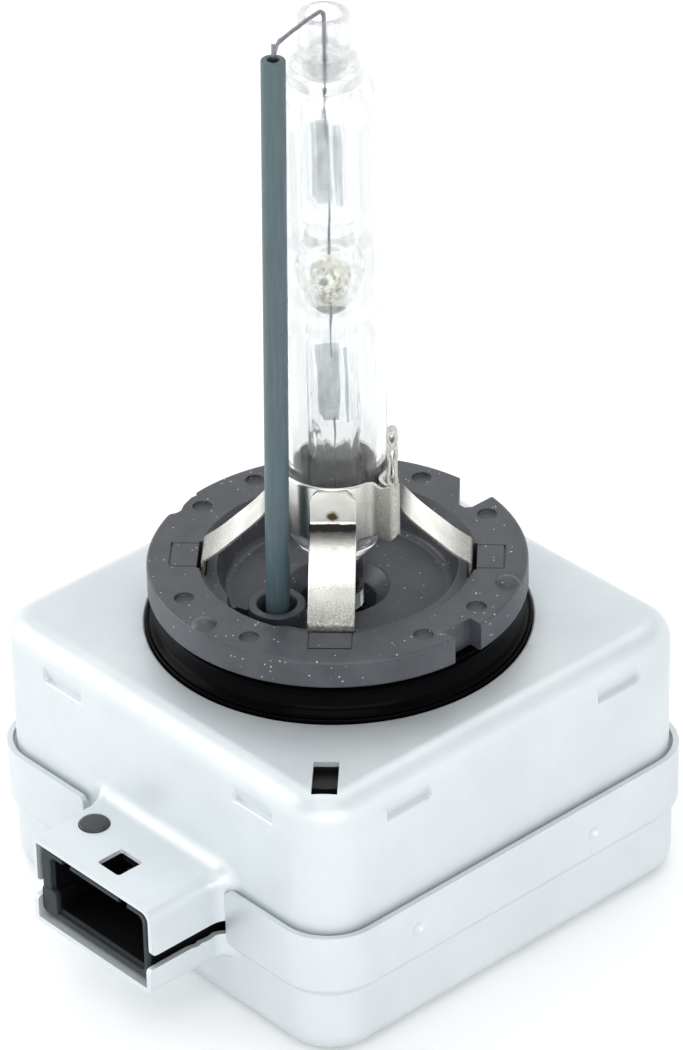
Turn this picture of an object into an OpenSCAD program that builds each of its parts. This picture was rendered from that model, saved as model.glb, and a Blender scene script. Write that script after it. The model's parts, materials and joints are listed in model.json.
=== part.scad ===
// Xenon headlight bulb with its igniter base.
// Origin: centre of the cap ring's top face. +Z runs up the burner, -Y is the plug side.

/* [Burner] */
// Outer diameter of the quartz jacket
jacket_d = 8.8; // [8.6:0.1:9.0]
// Wall of the quartz jacket
jacket_wall = 0.95; // [0.8:0.05:1.0]
// Height of the arc's centre above the cap ring
arc_z = 27.1; // [26.8:0.1:27.4]
// Height of the jacket's upper shoulder
jacket_top = 46.8; // [46.6:0.1:47.0]
// Height of the neck tube's rim
neck_top = 50.3; // [50:0.1:50.6]
// Diameter of the neck tube and of the stem below the jacket
stem_d = 4.3; // [4.2:0.05:4.4]
// Diameter of the discharge chamber
chamber_d = 5.8; // [5.6:0.1:6.0]
// Gap between the electrode tips
arc_gap = 4.2; // [4.0:0.1:4.4]

/* [Return wire] */
// Outer diameter of the ceramic tube
tube_d = 2.0; // [1.8:0.1:2.2]
// Height of the ceramic tube's top
tube_top = 48.5; // [48.2:0.1:49]
// Place of the ceramic tube to the right of the burner's axis
tube_x = 0.45; // [0:0.05:0.6]
// Place of the ceramic tube's foot on the plug side of the burner
tube_y = -7.2; // [-7.3:0.05:-6.9]
// Place of the ceramic tube's top, which leans in a little
tube_top_y = -5.7; // [-6.9:0.1:-5.4]
// Diameter of the wire
wire_d = 0.4; // [0.3:0.05:0.5]

/* [Holder] */
// Height of the clamp band's lower edge
band_low = 4.3; // [4.1:0.1:4.5]
// Height of the clamp band's upper edge
band_high = 9.4; // [9.2:0.1:9.6]
// Width of each spring leg
leg_w = 3.85; // [3.6:0.05:4]
// Thickness of the spring legs and of the clamp band
leg_t = 0.32; // [0.28:0.02:0.34]
// Distance of the legs' feet from the axis
foot_r = 11.3; // [11.25:0.05:11.35]

/* [Cap] */
// Diameter of the cap ring
cap_d = 32; // [31.8:0.1:32.2]
// Thickness of the cap ring's rim
cap_t = 2.6; // [2.4:0.1:2.8]
// Depth of the bowl around the burner
bowl_depth = 3; // [2.8:0.1:3.2]
// Diameter of the seal collar's flange
collar_d = 32.5; // [32.3:0.1:32.6]

/* [Case] */
// Width of the upper shield
case_w = 41.8; // [41.6:0.1:42]
// Corner radius of the upper shield
case_r = 4.25; // [4:0.05:4.5]
// Radius of the shield's drawn edges
draw_r = 2.2; // [2:0.1:2.4]
// Thickness of the shield sheet
sheet = 0.5; // [0.4:0.05:0.5]
// Depth of the case's top face below the cap ring's top face
case_top = 5.8; // [5.7:0.1:5.9]
// Depth of the lower shield's rim
rim_top = 18.4; // [18.2:0.1:18.6]
// Depth of the step below the flared rim
rim_low = 24.1; // [24:0.1:24.3]
// Depth of the case's bottom face
case_bottom = 30.9; // [30.8:0.1:31]
// Width of the lower shield below its rim
lower_w = 42.4; // [42.3:0.05:42.5]
// Width of the flared rim
rim_w = 43.5; // [43.4:0.1:43.6]

/* [Plug socket] */
// Left side of the connector cover
cover_left = -5.55; // [-5.6:0.05:-5.5]
// Right side of the connector cover
cover_right = 8.85; // [8.8:0.05:8.9]
// Depth of the connector cover's top face
cover_top = 17.45; // [17.4:0.05:17.5]
// Depth of the cover's side walls' lower edges
cover_low = 21.5; // [21.4:0.1:21.6]
// Reach of the connector cover from the axis
cover_reach = 29.3; // [29.2:0.1:29.4]
// Depth of the tray walls' upper edges
tray_top = 22.8; // [22.7:0.1:22.9]
// Depth of the tray's floor
tray_bottom = 25.1; // [25:0.1:25.2]
// Diameter of the locating plug
plug_d = 2.6; // [2.4:0.1:2.7]
// Diameter of a contact pin
pin_d = 1; // [0.8:0.1:1.2]

/* [Hidden] */
$fn = 64;
eps = 0.01;

jacket_r = jacket_d / 2;
stem_r = stem_d / 2;
cap_r = cap_d / 2;
chamber_r = chamber_d / 2;
seal_top = 42.4;
seal_low = 12.4;
foil_w = 1.6;
foil_len = 7.6;
foil_t = 0.05;
foil_gap = 6.6;
lead_d = 0.3;
lead_bore_r = 1.45;
slot_w = 0.5;
electrode_d = 0.36;
stem_low = -4.4;
tube_bore = 1.1;
tube_foot = [tube_x, tube_y, -4.6];
weld = [tube_x - 0.1, -4.9, neck_top - 0.3];
case_half = case_w / 2;
lower_half = lower_w / 2;
rim_half = rim_w / 2;
gap = 0.05;
neck_r = 14.6;
hole_r = 3.2;
hole_edge_r = 4.3;
bowl_r = 9.4;
ledge_r = 10.1;
ledge_depth = 0.8;
ring_inner_r = 11.6;
boss_r = 14.75;
boss_angles = [-90, 30, 150];
dimple_r = 14;
dimple_d = 1.85;
dimple_depth = 0.25;
dimple_angles = [12.3, -12.3, 73.2, 106.8, 167.7, 192.3, 253.2, 286.8];
socket_r = 1.7;
socket_out_r = 2.4;
socket_top = 1.4;
socket_floor = 5.2;
pocket_r = 4.2;
opening_r = collar_d / 2 + gap;
leg_angles = [-45, 45, 135, -135];
band_r = jacket_r + 0.02;
pad_r = band_r + leg_t + 0.02;
lug_reach = 7.2;
lug_t = 1;
lug_turn = 3;
housing_half = case_half - sheet - gap;
housing_wall = 1.2;
housing_step = 1.8;
housing_top = case_top + sheet + gap;
housing_low = case_bottom - sheet - 1.75;
board_z = -27.4;
board_t = 1.2;
board_top = board_z + board_t;
shroud_left = cover_left + sheet + gap;
shroud_right = cover_right - sheet - gap;
shroud_top = cover_top + sheet + gap;
shroud_low = tray_bottom - sheet - gap;
mouth_left = -3.85;
mouth_right = 7.75;
mouth_top = 18.4;
mouth_low = 23.1;
shroud_back = 16.4;
shroud_reach = cover_reach - 0.1;
tray_reach = cover_reach + 0.3;
plug_x = -3.9;
plug_y = -24.2;
board_half = 17.5;
core_y = 9.5;
core_z = -17.9;
core_d = 8;
core_len = 28;
bobbin_d = 10;
chamber_step = 6.2;
flange_t = 1.2;

// A rounded square prism standing on z = 0, with its upper edge drawn over with a radius
module drawn_block(half, corner, edge, height) {
    flat = half - corner;
    for (sx = [-1, 1], sy = [-1, 1])
        translate([sx * flat, sy * flat, 0])
            rotate_extrude() edge_profile(corner, edge, height);
    for (turn = [0, 90, 180, 270])
        rotate([0, 0, turn])
            translate([0, flat, 0])
                rotate([90, 0, 0])
                    linear_extrude(2 * flat)
                        translate([flat, 0]) edge_profile(corner, edge, height);
    translate([-flat - eps, -flat - eps, 0]) cube([2 * flat + 2 * eps, 2 * flat + 2 * eps, height]);
}

// Right half of the block's section: a rectangle with its outer upper corner rounded
module edge_profile(width, edge, height) {
    square([width, height - edge]);
    square([width - edge, height]);
    translate([width - edge, height - edge])
        intersection() {
            circle(edge);
            square(edge);
        }
}

// A rounded square prism with plain edges
module plain_block(half, corner, height) {
    flat = half - corner;
    for (sx = [-1, 1], sy = [-1, 1])
        translate([sx * flat, sy * flat, 0]) cylinder(r = corner, h = height);
    translate([-half, -flat, 0]) cube([2 * half, 2 * flat, height]);
    translate([-flat, -half, 0]) cube([2 * flat, 2 * half, height]);
}

// A box given by two corners
module box(low, high) {
    translate(low) cube(high - low);
}

// A round rod between two points, a little longer at each end so that rods in a chain join
module rod(start, end, d) {
    run = end - start;
    length = norm(run);
    translate(start)
        rotate([0, acos(run[2] / length), atan2(run[1], run[0])])
            translate([0, 0, -d / 4]) cylinder(d = d, h = length + d / 2, $fn = 24);
}

// ---- Burner ----

// Line of the jacket from the stem up over the shoulder to the neck, or its inner line with an inset
function jacket_line(inset) = [
    for (point = [
        [stem_r, 0.2 + inset], [3.1 - inset, 1.4 + inset], [4 - inset, 3 + inset],
        [jacket_r - inset, 4.4 + inset], [jacket_r - inset, 42.2 - inset],
        [4.15 - inset, 43.4 - inset], [3.5 - inset, 44.7 - inset], [2.95 - inset, 45.6 - inset],
        [stem_r, jacket_top - inset]
    ]) [max(stem_r, point[0]), point[1]]
];

module outer_bulb() color([0.92, 0.95, 0.95, 0.35]) {
    outer = jacket_line(0);
    inner = jacket_line(jacket_wall);
    rotate_extrude()
        polygon(concat(outer, [for (i = [len(inner) - 1:-1:0]) inner[i]]));
}

module arc_tube() color([0.95, 0.97, 0.98, 0.35])
    difference() {
        rotate_extrude()
            polygon([
                [0, stem_low], [stem_r, stem_low], [stem_r, 22.3], [1.85, 23.1], [2.2, 24.2],
                [2.62, 25.5], [chamber_r, arc_z - 0.4], [chamber_r, arc_z + 0.4],
                [2.68, 28.8], [2.36, 29.9], [1.75, 31.2], [stem_r, 32.2],
                [stem_r, neck_top], [0, neck_top]
            ]);
        translate([0, 0, seal_top]) cylinder(r = lead_bore_r, h = neck_top - seal_top + eps);
        translate([0, 0, stem_low - eps]) cylinder(r = lead_bore_r, h = seal_low - stem_low + eps);
        translate([0, 0, arc_z]) chamber_space();
        foil_slot(arc_z + foil_gap - eps, seal_top + eps);
        foil_slot(seal_low - eps, arc_z - foil_gap + eps);
        translate([0, 0, arc_z - foil_gap]) cylinder(d = electrode_d + 2 * gap, h = 2 * foil_gap);
    }

// The gas space inside the chamber
module chamber_space()
    rotate_extrude()
        polygon([[0, -3.1], [0.8, -2.5], [1.35, -1.2], [1.45, 0], [1.35, 1.2], [0.8, 2.5], [0, 3.1]]);

// The slot that a foil and its lead lie in
module foil_slot(low, high)
    translate([-foil_w / 2, -slot_w / 2, low]) cube([foil_w, slot_w, high - low]);

module electrode(direction)
    translate([0, 0, arc_z])
        mirror([0, 0, direction < 0 ? 1 : 0])
            translate([0, 0, arc_gap / 2]) cylinder(d = electrode_d, h = foil_gap - arc_gap / 2 + 0.7);

module upper_electrode() color([0.35, 0.35, 0.37]) electrode(1);

module lower_electrode() color([0.35, 0.35, 0.37]) electrode(-1);

// A foil behind the electrode and the lead that are welded to it
module foil(low)
    translate([-foil_w / 2, eps - slot_w / 2, low]) cube([foil_w, foil_t, foil_len]);

module upper_foil() color([0.62, 0.66, 0.67]) foil(arc_z + foil_gap + 0.1);
module lower_foil() color([0.62, 0.66, 0.67]) foil(arc_z - foil_gap - 0.1 - foil_len);

module upper_lead() color([0.4, 0.39, 0.42]) {
    crown = [0, 0, neck_top + 0.55];
    rod([0, 0, seal_top - 1.9], crown, lead_d);
    rod(crown, weld, lead_d);
}

module lower_lead() color([0.4, 0.39, 0.42]) {
    lead_low = -7.6;
    translate([0, 0, lead_low]) cylinder(d = lead_d, h = seal_low - lead_low + 1.8);
}

// Film on the lower part of the chamber's wall
module salt_deposit() color([0.85, 0.82, 0.66]) {
    film_top = 1.4;
    translate([0, 0, arc_z])
        intersection() {
            difference() {
                scale(0.995) chamber_space();
                scale(0.93) chamber_space();
                cylinder(d = electrode_d + 2 * gap, h = 10, center = true);
            }
            box([-3, -3, -3.2], [3, 3, film_top]);
        }
}

// Wire from the ceramic tube's foot up through it and over to the weld with the upper lead
module return_wire() color([0.62, 0.6, 0.63]) {
    mouth = [tube_x, tube_top_y, tube_top + 0.7];
    bend = [tube_x, tube_top_y + 0.2, tube_top + 1.2];
    rod(tube_foot + [0, 0, 1], mouth, wire_d);
    rod(mouth, bend, wire_d);
    rod(bend, weld - [0, 0.35, 0], wire_d);
}

module ceramic_tube() color([0.37, 0.47, 0.48])
    translate(tube_foot + [0, 0, gap])
        rotate([-atan2(tube_top_y - tube_y, tube_top + socket_floor), 0, 0])
            difference() {
                cylinder(d = tube_d, h = tube_top - tube_foot[2]);
                translate([0, 0, -eps]) cylinder(d = tube_bore, h = tube_top - tube_foot[2] + 1);
            }

// ---- Holder ----

// Band around the jacket, with the lug where its two ends meet
module clamp_band() color([0.75, 0.75, 0.73]) {
    height = band_high - band_low;
    lug_low = band_low + 0.2;
    lug_round = 0.8;
    difference() {
        union() {
            translate([0, 0, band_low]) cylinder(r = band_r + leg_t, h = height);
            rotate([90, 0, lug_turn])
                linear_extrude(lug_t, center = true) {
                    translate([band_r, lug_low]) square([lug_reach - lug_round - band_r, band_high - lug_low]);
                    translate([lug_reach - lug_round, lug_low + lug_round]) circle(lug_round);
                    translate([lug_reach - lug_round - 0.1, lug_low + lug_round])
                        square([lug_round + 0.1, band_high - lug_low - lug_round]);
                }
        }
        translate([0, 0, band_low - 1]) cylinder(r = band_r, h = height + 2);
    }
    band_tab();
}

// Tab above the lug: two plies with a slit between them, and a curled end
module band_tab() {
    tab_w = 1.2;
    tab_t = 0.9;
    tab_h = 5;
    tab_r = 6.65;
    slit_w = 0.24;
    curl_r = 0.5;
    curl_z = 5.7;
    twist = 45;
    rotate([0, 0, lug_turn])
        translate([tab_r, 0, band_high - 0.3])
            rotate([90, 0, twist])
                linear_extrude(tab_w, center = true)
                    difference() {
                        union() {
                            translate([-tab_t / 2, 0]) square([tab_t, tab_h]);
                            translate([-slit_w, tab_h - 0.1]) square([2 * slit_w, curl_z - tab_h]);
                            translate([0, curl_z]) circle(curl_r);
                        }
                        translate([-slit_w / 2, 0.7]) square([slit_w, tab_h - 2.7]);
                    }
}

// A spring leg along +X: pad on the band, sloping strip, and foot in the ring's slot
module leg() {
    pad_top = band_high - 0.1;
    bend_z = 6.3;
    knee_z = 0.2;
    rise = 0.15;
    rotate([90, 0, 0])
        linear_extrude(leg_w, center = true)
            polygon([
                [pad_r, pad_top], [pad_r, bend_z], [foot_r, knee_z], [foot_r, -cap_t],
                [foot_r + leg_t, -cap_t], [foot_r + leg_t, knee_z + rise],
                [pad_r + leg_t, bend_z + rise], [pad_r + leg_t, pad_top]
            ]);
}

module leg_front() color([0.78, 0.78, 0.76]) rotate([0, 0, leg_angles[0]]) leg();

module leg_right() color([0.78, 0.78, 0.76]) rotate([0, 0, leg_angles[1]]) leg();

module leg_rear() color([0.78, 0.78, 0.76]) rotate([0, 0, leg_angles[2]]) leg();

module leg_left() color([0.78, 0.78, 0.76]) rotate([0, 0, leg_angles[3]]) leg();

// ---- Cap ----

module cap_ring() color([0.36, 0.37, 0.39]) {
    dome_r = 1.9;
    dome_z = -1.55;
    slack = 0.1;
    difference() {
        union() {
            rotate_extrude()
                polygon([
                    [hole_r, -housing_top], [hole_r, -bowl_depth - 1.2], [hole_edge_r, -bowl_depth],
                    [bowl_r, -bowl_depth], [ledge_r, -ledge_depth], [ring_inner_r - 0.4, -ledge_depth],
                    [ring_inner_r, 0], [cap_r, 0], [cap_r, -cap_t], [neck_r, -cap_t],
                    [neck_r, -housing_top]
                ]);
            translate([tube_x, tube_y, -socket_floor])
                cylinder(r = socket_out_r, h = socket_floor - socket_top);
            intersection() {
                for (turn = boss_angles)
                    rotate([0, 0, turn]) translate([boss_r, 0, dome_z]) sphere(dome_r);
                translate([0, 0, -1]) cylinder(r = cap_r - slack, h = 3);
            }
        }
        for (turn = dimple_angles)
            rotate([0, 0, turn]) translate([dimple_r, 0, -dimple_depth]) cylinder(d = dimple_d, h = 1);
        for (turn = leg_angles)
            rotate([0, 0, turn])
                box(
                    [foot_r - slack, -leg_w / 2 - slack, -bowl_depth],
                    [foot_r + leg_t + slack, leg_w / 2 + slack, 1]
                );
        tube_socket_space();
        index_notches();
    }
}

// The bore that holds the ceramic tube, and the pocket in front of its collar
module tube_socket_space() {
    pocket_half = 3.2;
    translate(tube_foot) cylinder(r = socket_r, h = 10);
    difference() {
        intersection() {
            translate([tube_x, tube_y, -socket_floor]) cylinder(r = pocket_r, h = 10);
            translate([0, 0, -socket_floor]) cylinder(r = ring_inner_r - 0.4, h = 10);
            box([-pocket_half, -cap_r, -socket_floor], [pocket_half, tube_y + 0.4, 5]);
        }
        translate([tube_x, tube_y, -socket_floor - 1]) cylinder(r = socket_out_r, h = 10);
    }
}

// The three index notches in the ring's edge
module index_notches()
    translate([0, 0, -cap_t - eps])
        linear_extrude(cap_t + 2) {
            translate([14.55, -1.5]) square([3, 2.9]);
            polygon([[-1.9, 17], [-1.9, 15.9], [1.26, 12.73], [2.37, 12.73], [2.37, 17]]);
            polygon([
                [-17, -1.8], [-15.7, -1.8], [-15.3, -2.3], [-14.9, -4], [-14.4, -4.8],
                [-14.4, -5.8], [-16, -6.6], [-18, -4]
            ]);
        }

module seal_collar() color([0.05, 0.05, 0.06])
    rotate_extrude()
        polygon([
            [neck_r, -cap_t], [15.5, -cap_t], [15.1, -3.3], [15, -4.4], [15.3, -5.3], [15.75, -5.75],
            [15.95, -5.45], [collar_d / 2 - 0.1, -5.45], [collar_d / 2, -5.6],
            [collar_d / 2, -housing_top], [neck_r, -housing_top]
        ]);

// ---- Case ----

module upper_shield() color([0.84, 0.86, 0.88]) {
    skirt_low = -rim_low + sheet;
    difference() {
        union() {
            translate([0, 0, skirt_low]) drawn_block(case_half, case_r, draw_r, -case_top - skirt_low);
            cover_block(0);
        }
        translate([0, 0, skirt_low - 1])
            drawn_block(
                case_half - sheet, case_r - sheet, draw_r - sheet,
                -case_top - sheet - skirt_low + 1
            );
        cover_block(sheet);
        translate([0, 0, -case_top - 3]) cylinder(r = opening_r, h = 6);
        plug_hole();
        cover_window();
        corner_window();
        box(
            [shroud_left, -case_half - 1, skirt_low - 1],
            [shroud_right, -case_half + 2, -shroud_top + gap]
        );
    }
}

// The connector cover's outer block, or with an inset the space under it
module cover_block(inset) {
    front = cover_reach + (inset > 0 ? 1 : 0);
    translate([0, -case_half + 1, 0])
        rotate([90, 0, 0])
            linear_extrude(front - case_half + 1) cover_section(inset);
}

// Section of the cover across X and Z: a rectangle with its two upper corners rounded
module cover_section(inset) {
    edge = 1.2 - inset;
    left = cover_left + inset;
    right = cover_right - inset;
    top = -cover_top - inset;
    low = inset > 0 ? -cover_low - 1 : -cover_low;
    translate([left, low]) square([right - left, top - edge - low]);
    translate([left + edge, low]) square([right - left - 2 * edge, top - low]);
    for (x = [left + edge, right - edge]) translate([x, top - edge]) circle(edge);
}

// Hole for the locating plug, through the cover and into the socket frame
module plug_hole()
    translate([plug_x, plug_y, -cover_top - 3]) cylinder(d = plug_d + 2 * gap, h = 5);

// Square window in the cover's top
module cover_window() {
    side = 2.7;
    translate([1.6 - side / 2, -26.1 - side / 2, -cover_top - 2]) cube([side, side, 4]);
}

// Latch window through the top, along the diagonal that points between the two front faces
module corner_window() {
    window_w = 2.1;
    rotate([0, 0, -45])
        box([21.65, -window_w / 2, -case_top - 3], [26.05, window_w / 2, -case_top + 2]);
}

module lower_shield() color([0.82, 0.84, 0.86]) {
    step_top = -rim_low + sheet;
    lower_r = case_r + 0.3;
    rim_r = case_r + 0.8;
    notch_left = cover_left - 2.95;
    notch_right = cover_right + 0.65;
    difference() {
        union() {
            translate([0, 0, -rim_low]) mirror([0, 0, 1])
                drawn_block(lower_half, lower_r, draw_r, case_bottom - rim_low);
            translate([0, 0, -rim_low]) plain_block(rim_half, rim_r, rim_low - rim_top);
            box([cover_left, -tray_reach, -tray_bottom], [cover_right, -case_half, -tray_top]);
        }
        translate([0, 0, step_top]) mirror([0, 0, 1])
            drawn_block(lower_half - sheet, lower_r - sheet, draw_r - sheet, case_bottom - rim_low);
        translate([0, 0, step_top]) plain_block(rim_half - sheet, rim_r - sheet, rim_low);
        box([notch_left, -rim_half - 1, step_top], [notch_right, -case_half, -rim_top + 1]);
        box(
            [cover_left + sheet, -tray_reach - 1, -tray_bottom + sheet],
            [cover_right - sheet, -case_half + 2, -rim_top]
        );
    }
}

module inner_housing() color([0.16, 0.16, 0.17]) {
    housing_r = case_r - sheet;
    shoulder = -housing_top - housing_step;
    contact_hole_r = 2.6;
    difference() {
        union() {
            translate([0, 0, -housing_low]) plain_block(housing_half, housing_r, shoulder + housing_low);
            translate([0, 0, shoulder - eps])
                plain_block(housing_half - housing_step, housing_r, housing_step + eps);
        }
        translate([0, 0, -housing_low - 1])
            plain_block(
                housing_half - housing_wall, housing_r - housing_wall,
                shoulder - housing_wall + housing_low + 1
            );
        translate([0, 0, -housing_top - 3]) cylinder(r = contact_hole_r, h = 6);
        box(
            [shroud_left - gap, -case_half - 1, -shroud_low - gap],
            [shroud_right + gap, -housing_half + 2, -shroud_top + gap]
        );
        rotate([0, 0, -45])
            box([21.3, -1.4, -housing_top - 0.6], [23.6, 1.4, -housing_top + 1]);
    }
}

// Stepped base plate that closes the housing and rests in the lower shield
module housing_lid() color([0.14, 0.14, 0.15]) {
    lid_low = -case_bottom + sheet + gap;
    foot_t = 1;
    inset = 1.5;
    translate([0, 0, lid_low]) plain_block(housing_half - inset, case_r - sheet - inset, foot_t);
    translate([0, 0, lid_low + foot_t - eps])
        plain_block(
            housing_half - 2 * gap, case_r - sheet - 2 * gap,
            -housing_low - lid_low - foot_t + eps
        );
}

// ---- Plug socket ----

module socket_frame() color([0.33, 0.33, 0.35]) {
    back_wall = 1.5;
    gap_w = 1.15;
    difference() {
        translate([0, -shroud_back, 0])
            rotate([90, 0, 0])
                linear_extrude(shroud_reach - shroud_back) shroud_section();
        box(
            [mouth_left, -cover_reach - 1, -mouth_low],
            [mouth_right, -shroud_back - back_wall, -mouth_top]
        );
        for (x = [-2.4, 4.7])
            box(
                [x, -cover_reach - 1, -mouth_top - 1],
                [x + gap_w, -shroud_back - back_wall - 0.5, -shroud_top + 1]
            );
        plug_hole();
        contact_places() cylinder(d = pin_d, h = 20, center = true);
    }
}

// Section of the socket frame across X and Z, with its two upper corners rounded
module shroud_section() {
    edge = 0.9;
    width = shroud_right - shroud_left;
    translate([shroud_left, -shroud_low]) square([width, shroud_low - shroud_top - edge]);
    translate([shroud_left + edge, -shroud_low]) square([width - 2 * edge, shroud_low - shroud_top]);
    for (x = [shroud_left + edge, shroud_right - edge]) translate([x, -shroud_top - edge]) circle(edge);
}

module locating_plug() color([0.12, 0.12, 0.13]) {
    shank = 0.7;
    dome = 0.15;
    translate([plug_x, plug_y, -cover_top - sheet]) {
        cylinder(d = plug_d, h = shank);
        translate([0, 0, shank]) cylinder(d1 = plug_d, d2 = plug_d - 2 * dome, h = dome);
    }
}

// The two contact pins' places, each turned to lie along Y
module contact_places()
    for (x = [-0.1, 4])
        translate([x, -shroud_back, -(mouth_top + mouth_low) / 2]) rotate([90, 0, 0]) children();

module contact_pins() color([0.8, 0.7, 0.45])
    contact_places() translate([0, 0, -1.2]) cylinder(d = pin_d, h = 8.5);

// ---- Igniter ----

module circuit_board() color([0.16, 0.36, 0.22])
    difference() {
        translate([0, 0, board_z]) plain_block(board_half, 2, board_t);
        box([-12, -20, board_z - 1], [12, -15.5, board_top + 1]);
    }

// Lays a coil part along X, a distance from the core's end
module along_core(offset)
    translate([offset - core_len / 2, core_y, core_z]) rotate([0, 90, 0]) children();

// A sleeve on the coil's axis
module sleeve(inner_d, outer_d, length)
    difference() {
        cylinder(d = outer_d, h = length);
        translate([0, 0, -1]) cylinder(d = inner_d, h = length + 2);
    }

module ferrite_core() color([0.2, 0.2, 0.21]) along_core(0) cylinder(d = core_d, h = core_len);

module coil_bobbin() color([0.85, 0.83, 0.76])
    along_core(1)
        difference() {
            union() {
                cylinder(d = bobbin_d, h = 4 * chamber_step + flange_t);
                for (i = [0:4]) translate([0, 0, i * chamber_step]) cylinder(d = 14.4, h = flange_t);
            }
            translate([0, 0, -1]) cylinder(d = core_d + 2 * gap, h = core_len);
        }

module secondary_winding() color([0.72, 0.42, 0.2])
    along_core(1)
        for (i = [0:3])
            translate([0, 0, i * chamber_step + flange_t + gap])
                sleeve(bobbin_d + 2 * gap, 13.6, chamber_step - flange_t - 2 * gap);

module primary_winding() color([0.8, 0.5, 0.25])
    along_core(1)
        for (x = [8.2, 14.4]) translate([0, 0, x]) sleeve(14.5, 16, 3.4);

module spark_gap() color([0.86, 0.84, 0.8]) {
    body_d = 8;
    body_len = 6;
    cap_len = 0.6;
    translate([-11, -8, board_top + body_d / 2]) rotate([0, 90, 0]) {
        cylinder(d = body_d, h = body_len);
        for (x = [-cap_len, body_len]) translate([0, 0, x]) cylinder(d = 0.8 * body_d, h = cap_len);
    }
}

module impulse_capacitor() color([0.25, 0.35, 0.6])
    box([-16, 0.2, board_top], [-8, 2, board_top + 9]);

module bleed_resistor() color([0.75, 0.66, 0.5]) {
    body_d = 2.4;
    translate([12, -13, board_top + body_d / 2]) rotate([-90, 0, 0]) cylinder(d = body_d, h = 7);
}

module filter_coil() color([0.55, 0.35, 0.18]) translate([14, 0, board_top]) sleeve(2, 5, 6);

// Spring contact under the burner's stem, with a strip to the coil
module hv_contact() color([0.8, 0.78, 0.7]) {
    strip_low = -12.6;
    strip_t = 0.6;
    difference() {
        union() {
            translate([0, 0, strip_low + strip_t]) cylinder(d = 2.4, h = 5);
            box([-0.8, 0, strip_low], [0.8, core_y - 8.2, strip_low + strip_t]);
        }
        translate([0, 0, -11]) cylinder(d = lead_d, h = 5);
    }
}

outer_bulb();
arc_tube();
upper_electrode();
lower_electrode();
upper_foil();
lower_foil();
upper_lead();
lower_lead();
salt_deposit();
return_wire();
ceramic_tube();
clamp_band();
leg_front();
leg_right();
leg_rear();
leg_left();
cap_ring();
seal_collar();
upper_shield();
lower_shield();
inner_housing();
housing_lid();
socket_frame();
locating_plug();
contact_pins();
circuit_board();
ferrite_core();
coil_bobbin();
secondary_winding();
primary_winding();
spark_gap();
impulse_capacitor();
bleed_resistor();
filter_coil();
hv_contact();
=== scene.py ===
"""Looks of the xenon headlight bulb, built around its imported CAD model.

Shapes are worked out in millimetres in the CAD model's frame and turned into metres when a piece
is made. The origin is the centre of the cap ring's top face, +Z runs up the burner, -Y is the
plug side.
"""

import json
import math
import random

import bmesh
import bpy
from mathutils import Matrix, Vector, noise


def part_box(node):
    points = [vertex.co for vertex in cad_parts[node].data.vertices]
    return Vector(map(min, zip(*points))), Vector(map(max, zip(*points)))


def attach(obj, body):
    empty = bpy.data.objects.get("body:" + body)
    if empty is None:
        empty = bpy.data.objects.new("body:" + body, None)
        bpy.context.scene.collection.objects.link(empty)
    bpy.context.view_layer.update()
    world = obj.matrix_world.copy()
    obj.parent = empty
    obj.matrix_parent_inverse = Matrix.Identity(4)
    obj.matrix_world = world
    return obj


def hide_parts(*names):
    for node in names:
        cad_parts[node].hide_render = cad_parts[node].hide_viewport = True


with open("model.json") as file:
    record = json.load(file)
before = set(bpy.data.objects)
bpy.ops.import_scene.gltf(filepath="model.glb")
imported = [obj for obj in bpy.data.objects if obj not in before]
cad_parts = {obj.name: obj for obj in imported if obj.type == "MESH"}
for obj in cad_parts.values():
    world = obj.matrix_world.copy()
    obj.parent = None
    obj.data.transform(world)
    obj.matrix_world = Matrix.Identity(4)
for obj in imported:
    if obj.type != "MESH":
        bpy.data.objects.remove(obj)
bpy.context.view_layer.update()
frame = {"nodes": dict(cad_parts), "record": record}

MM = 0.001
EPS = 0.01
ROOT = "root"


# ---- sizes from the frame, in millimetres

def span(node):
    """Lowest and highest corner of a CAD node, in millimetres."""
    low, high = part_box(node)
    return low / MM, high / MM


UPPER_LOW, UPPER_HIGH = span("upper_shield")
LOWER_LOW, LOWER_HIGH = span("lower_shield")
TUBE_LOW, TUBE_HIGH = span("ceramic_tube")
ARC_LOW, ARC_HIGH = span("arc_tube")
SOCKET_LOW, SOCKET_HIGH = span("socket_frame")
PLUG_LOW, PLUG_HIGH = span("locating_plug")

SHEET = 0.5  # the shields' thickness
CASE_HALF = UPPER_HIGH.x
CASE_CORNER = 4.25
FLAT = CASE_HALF - CASE_CORNER  # half the straight part of each side
CASE_TOP = UPPER_HIGH.z
FLOOR = LOWER_LOW.z
RIM_HALF = LOWER_HIGH.x
RIM_TOP = LOWER_HIGH.z
RIM_STEP = -24.1
BODY_HALF = RIM_HALF - 0.55
DRAW = 2.2  # radius of the case's drawn edges
RING_R = span("cap_ring")[1].x
RING_T = 2.6
OPENING_R = span("seal_collar")[1].x + 0.05
JACKET_R = span("outer_bulb")[1].x
STEM_R = 2.15
NECK_TOP = ARC_HIGH.z + 0.3
BORE_FLOOR = NECK_TOP - 5.9  # bottom of the neck's bore
ARC_Z = (span("upper_electrode")[0].z + span("lower_electrode")[1].z) / 2
SALT_SPOT = (0.9, -1.4, ARC_Z + 0.45)  # bare patch of the salt film, on the camera's side
LEG_ANGLES = {"leg_front": -45, "leg_right": 45, "leg_rear": 135, "leg_left": -135}
LEG_W = 3.85
LEG_T = 0.32
FOOT_R = 11.3
BAND_R = JACKET_R + 0.02
BAND_FOOT = span("clamp_band")[0].z
BAND_TOP = 9.4
PAD_R = BAND_R + LEG_T + 0.02
WELD_Z = 7.1

# The camera: degrees round from -Y toward +X, up and rolled, then millimetres
VIEW_AZIMUTH = 48.36
VIEW_ELEVATION = 32.48
VIEW_ROLL = 1.454
VIEW_DISTANCE = 444.2
VIEW_ASIDE = (0.35, 2.53)
LENS = 182.8


# ---- mesh building

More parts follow.
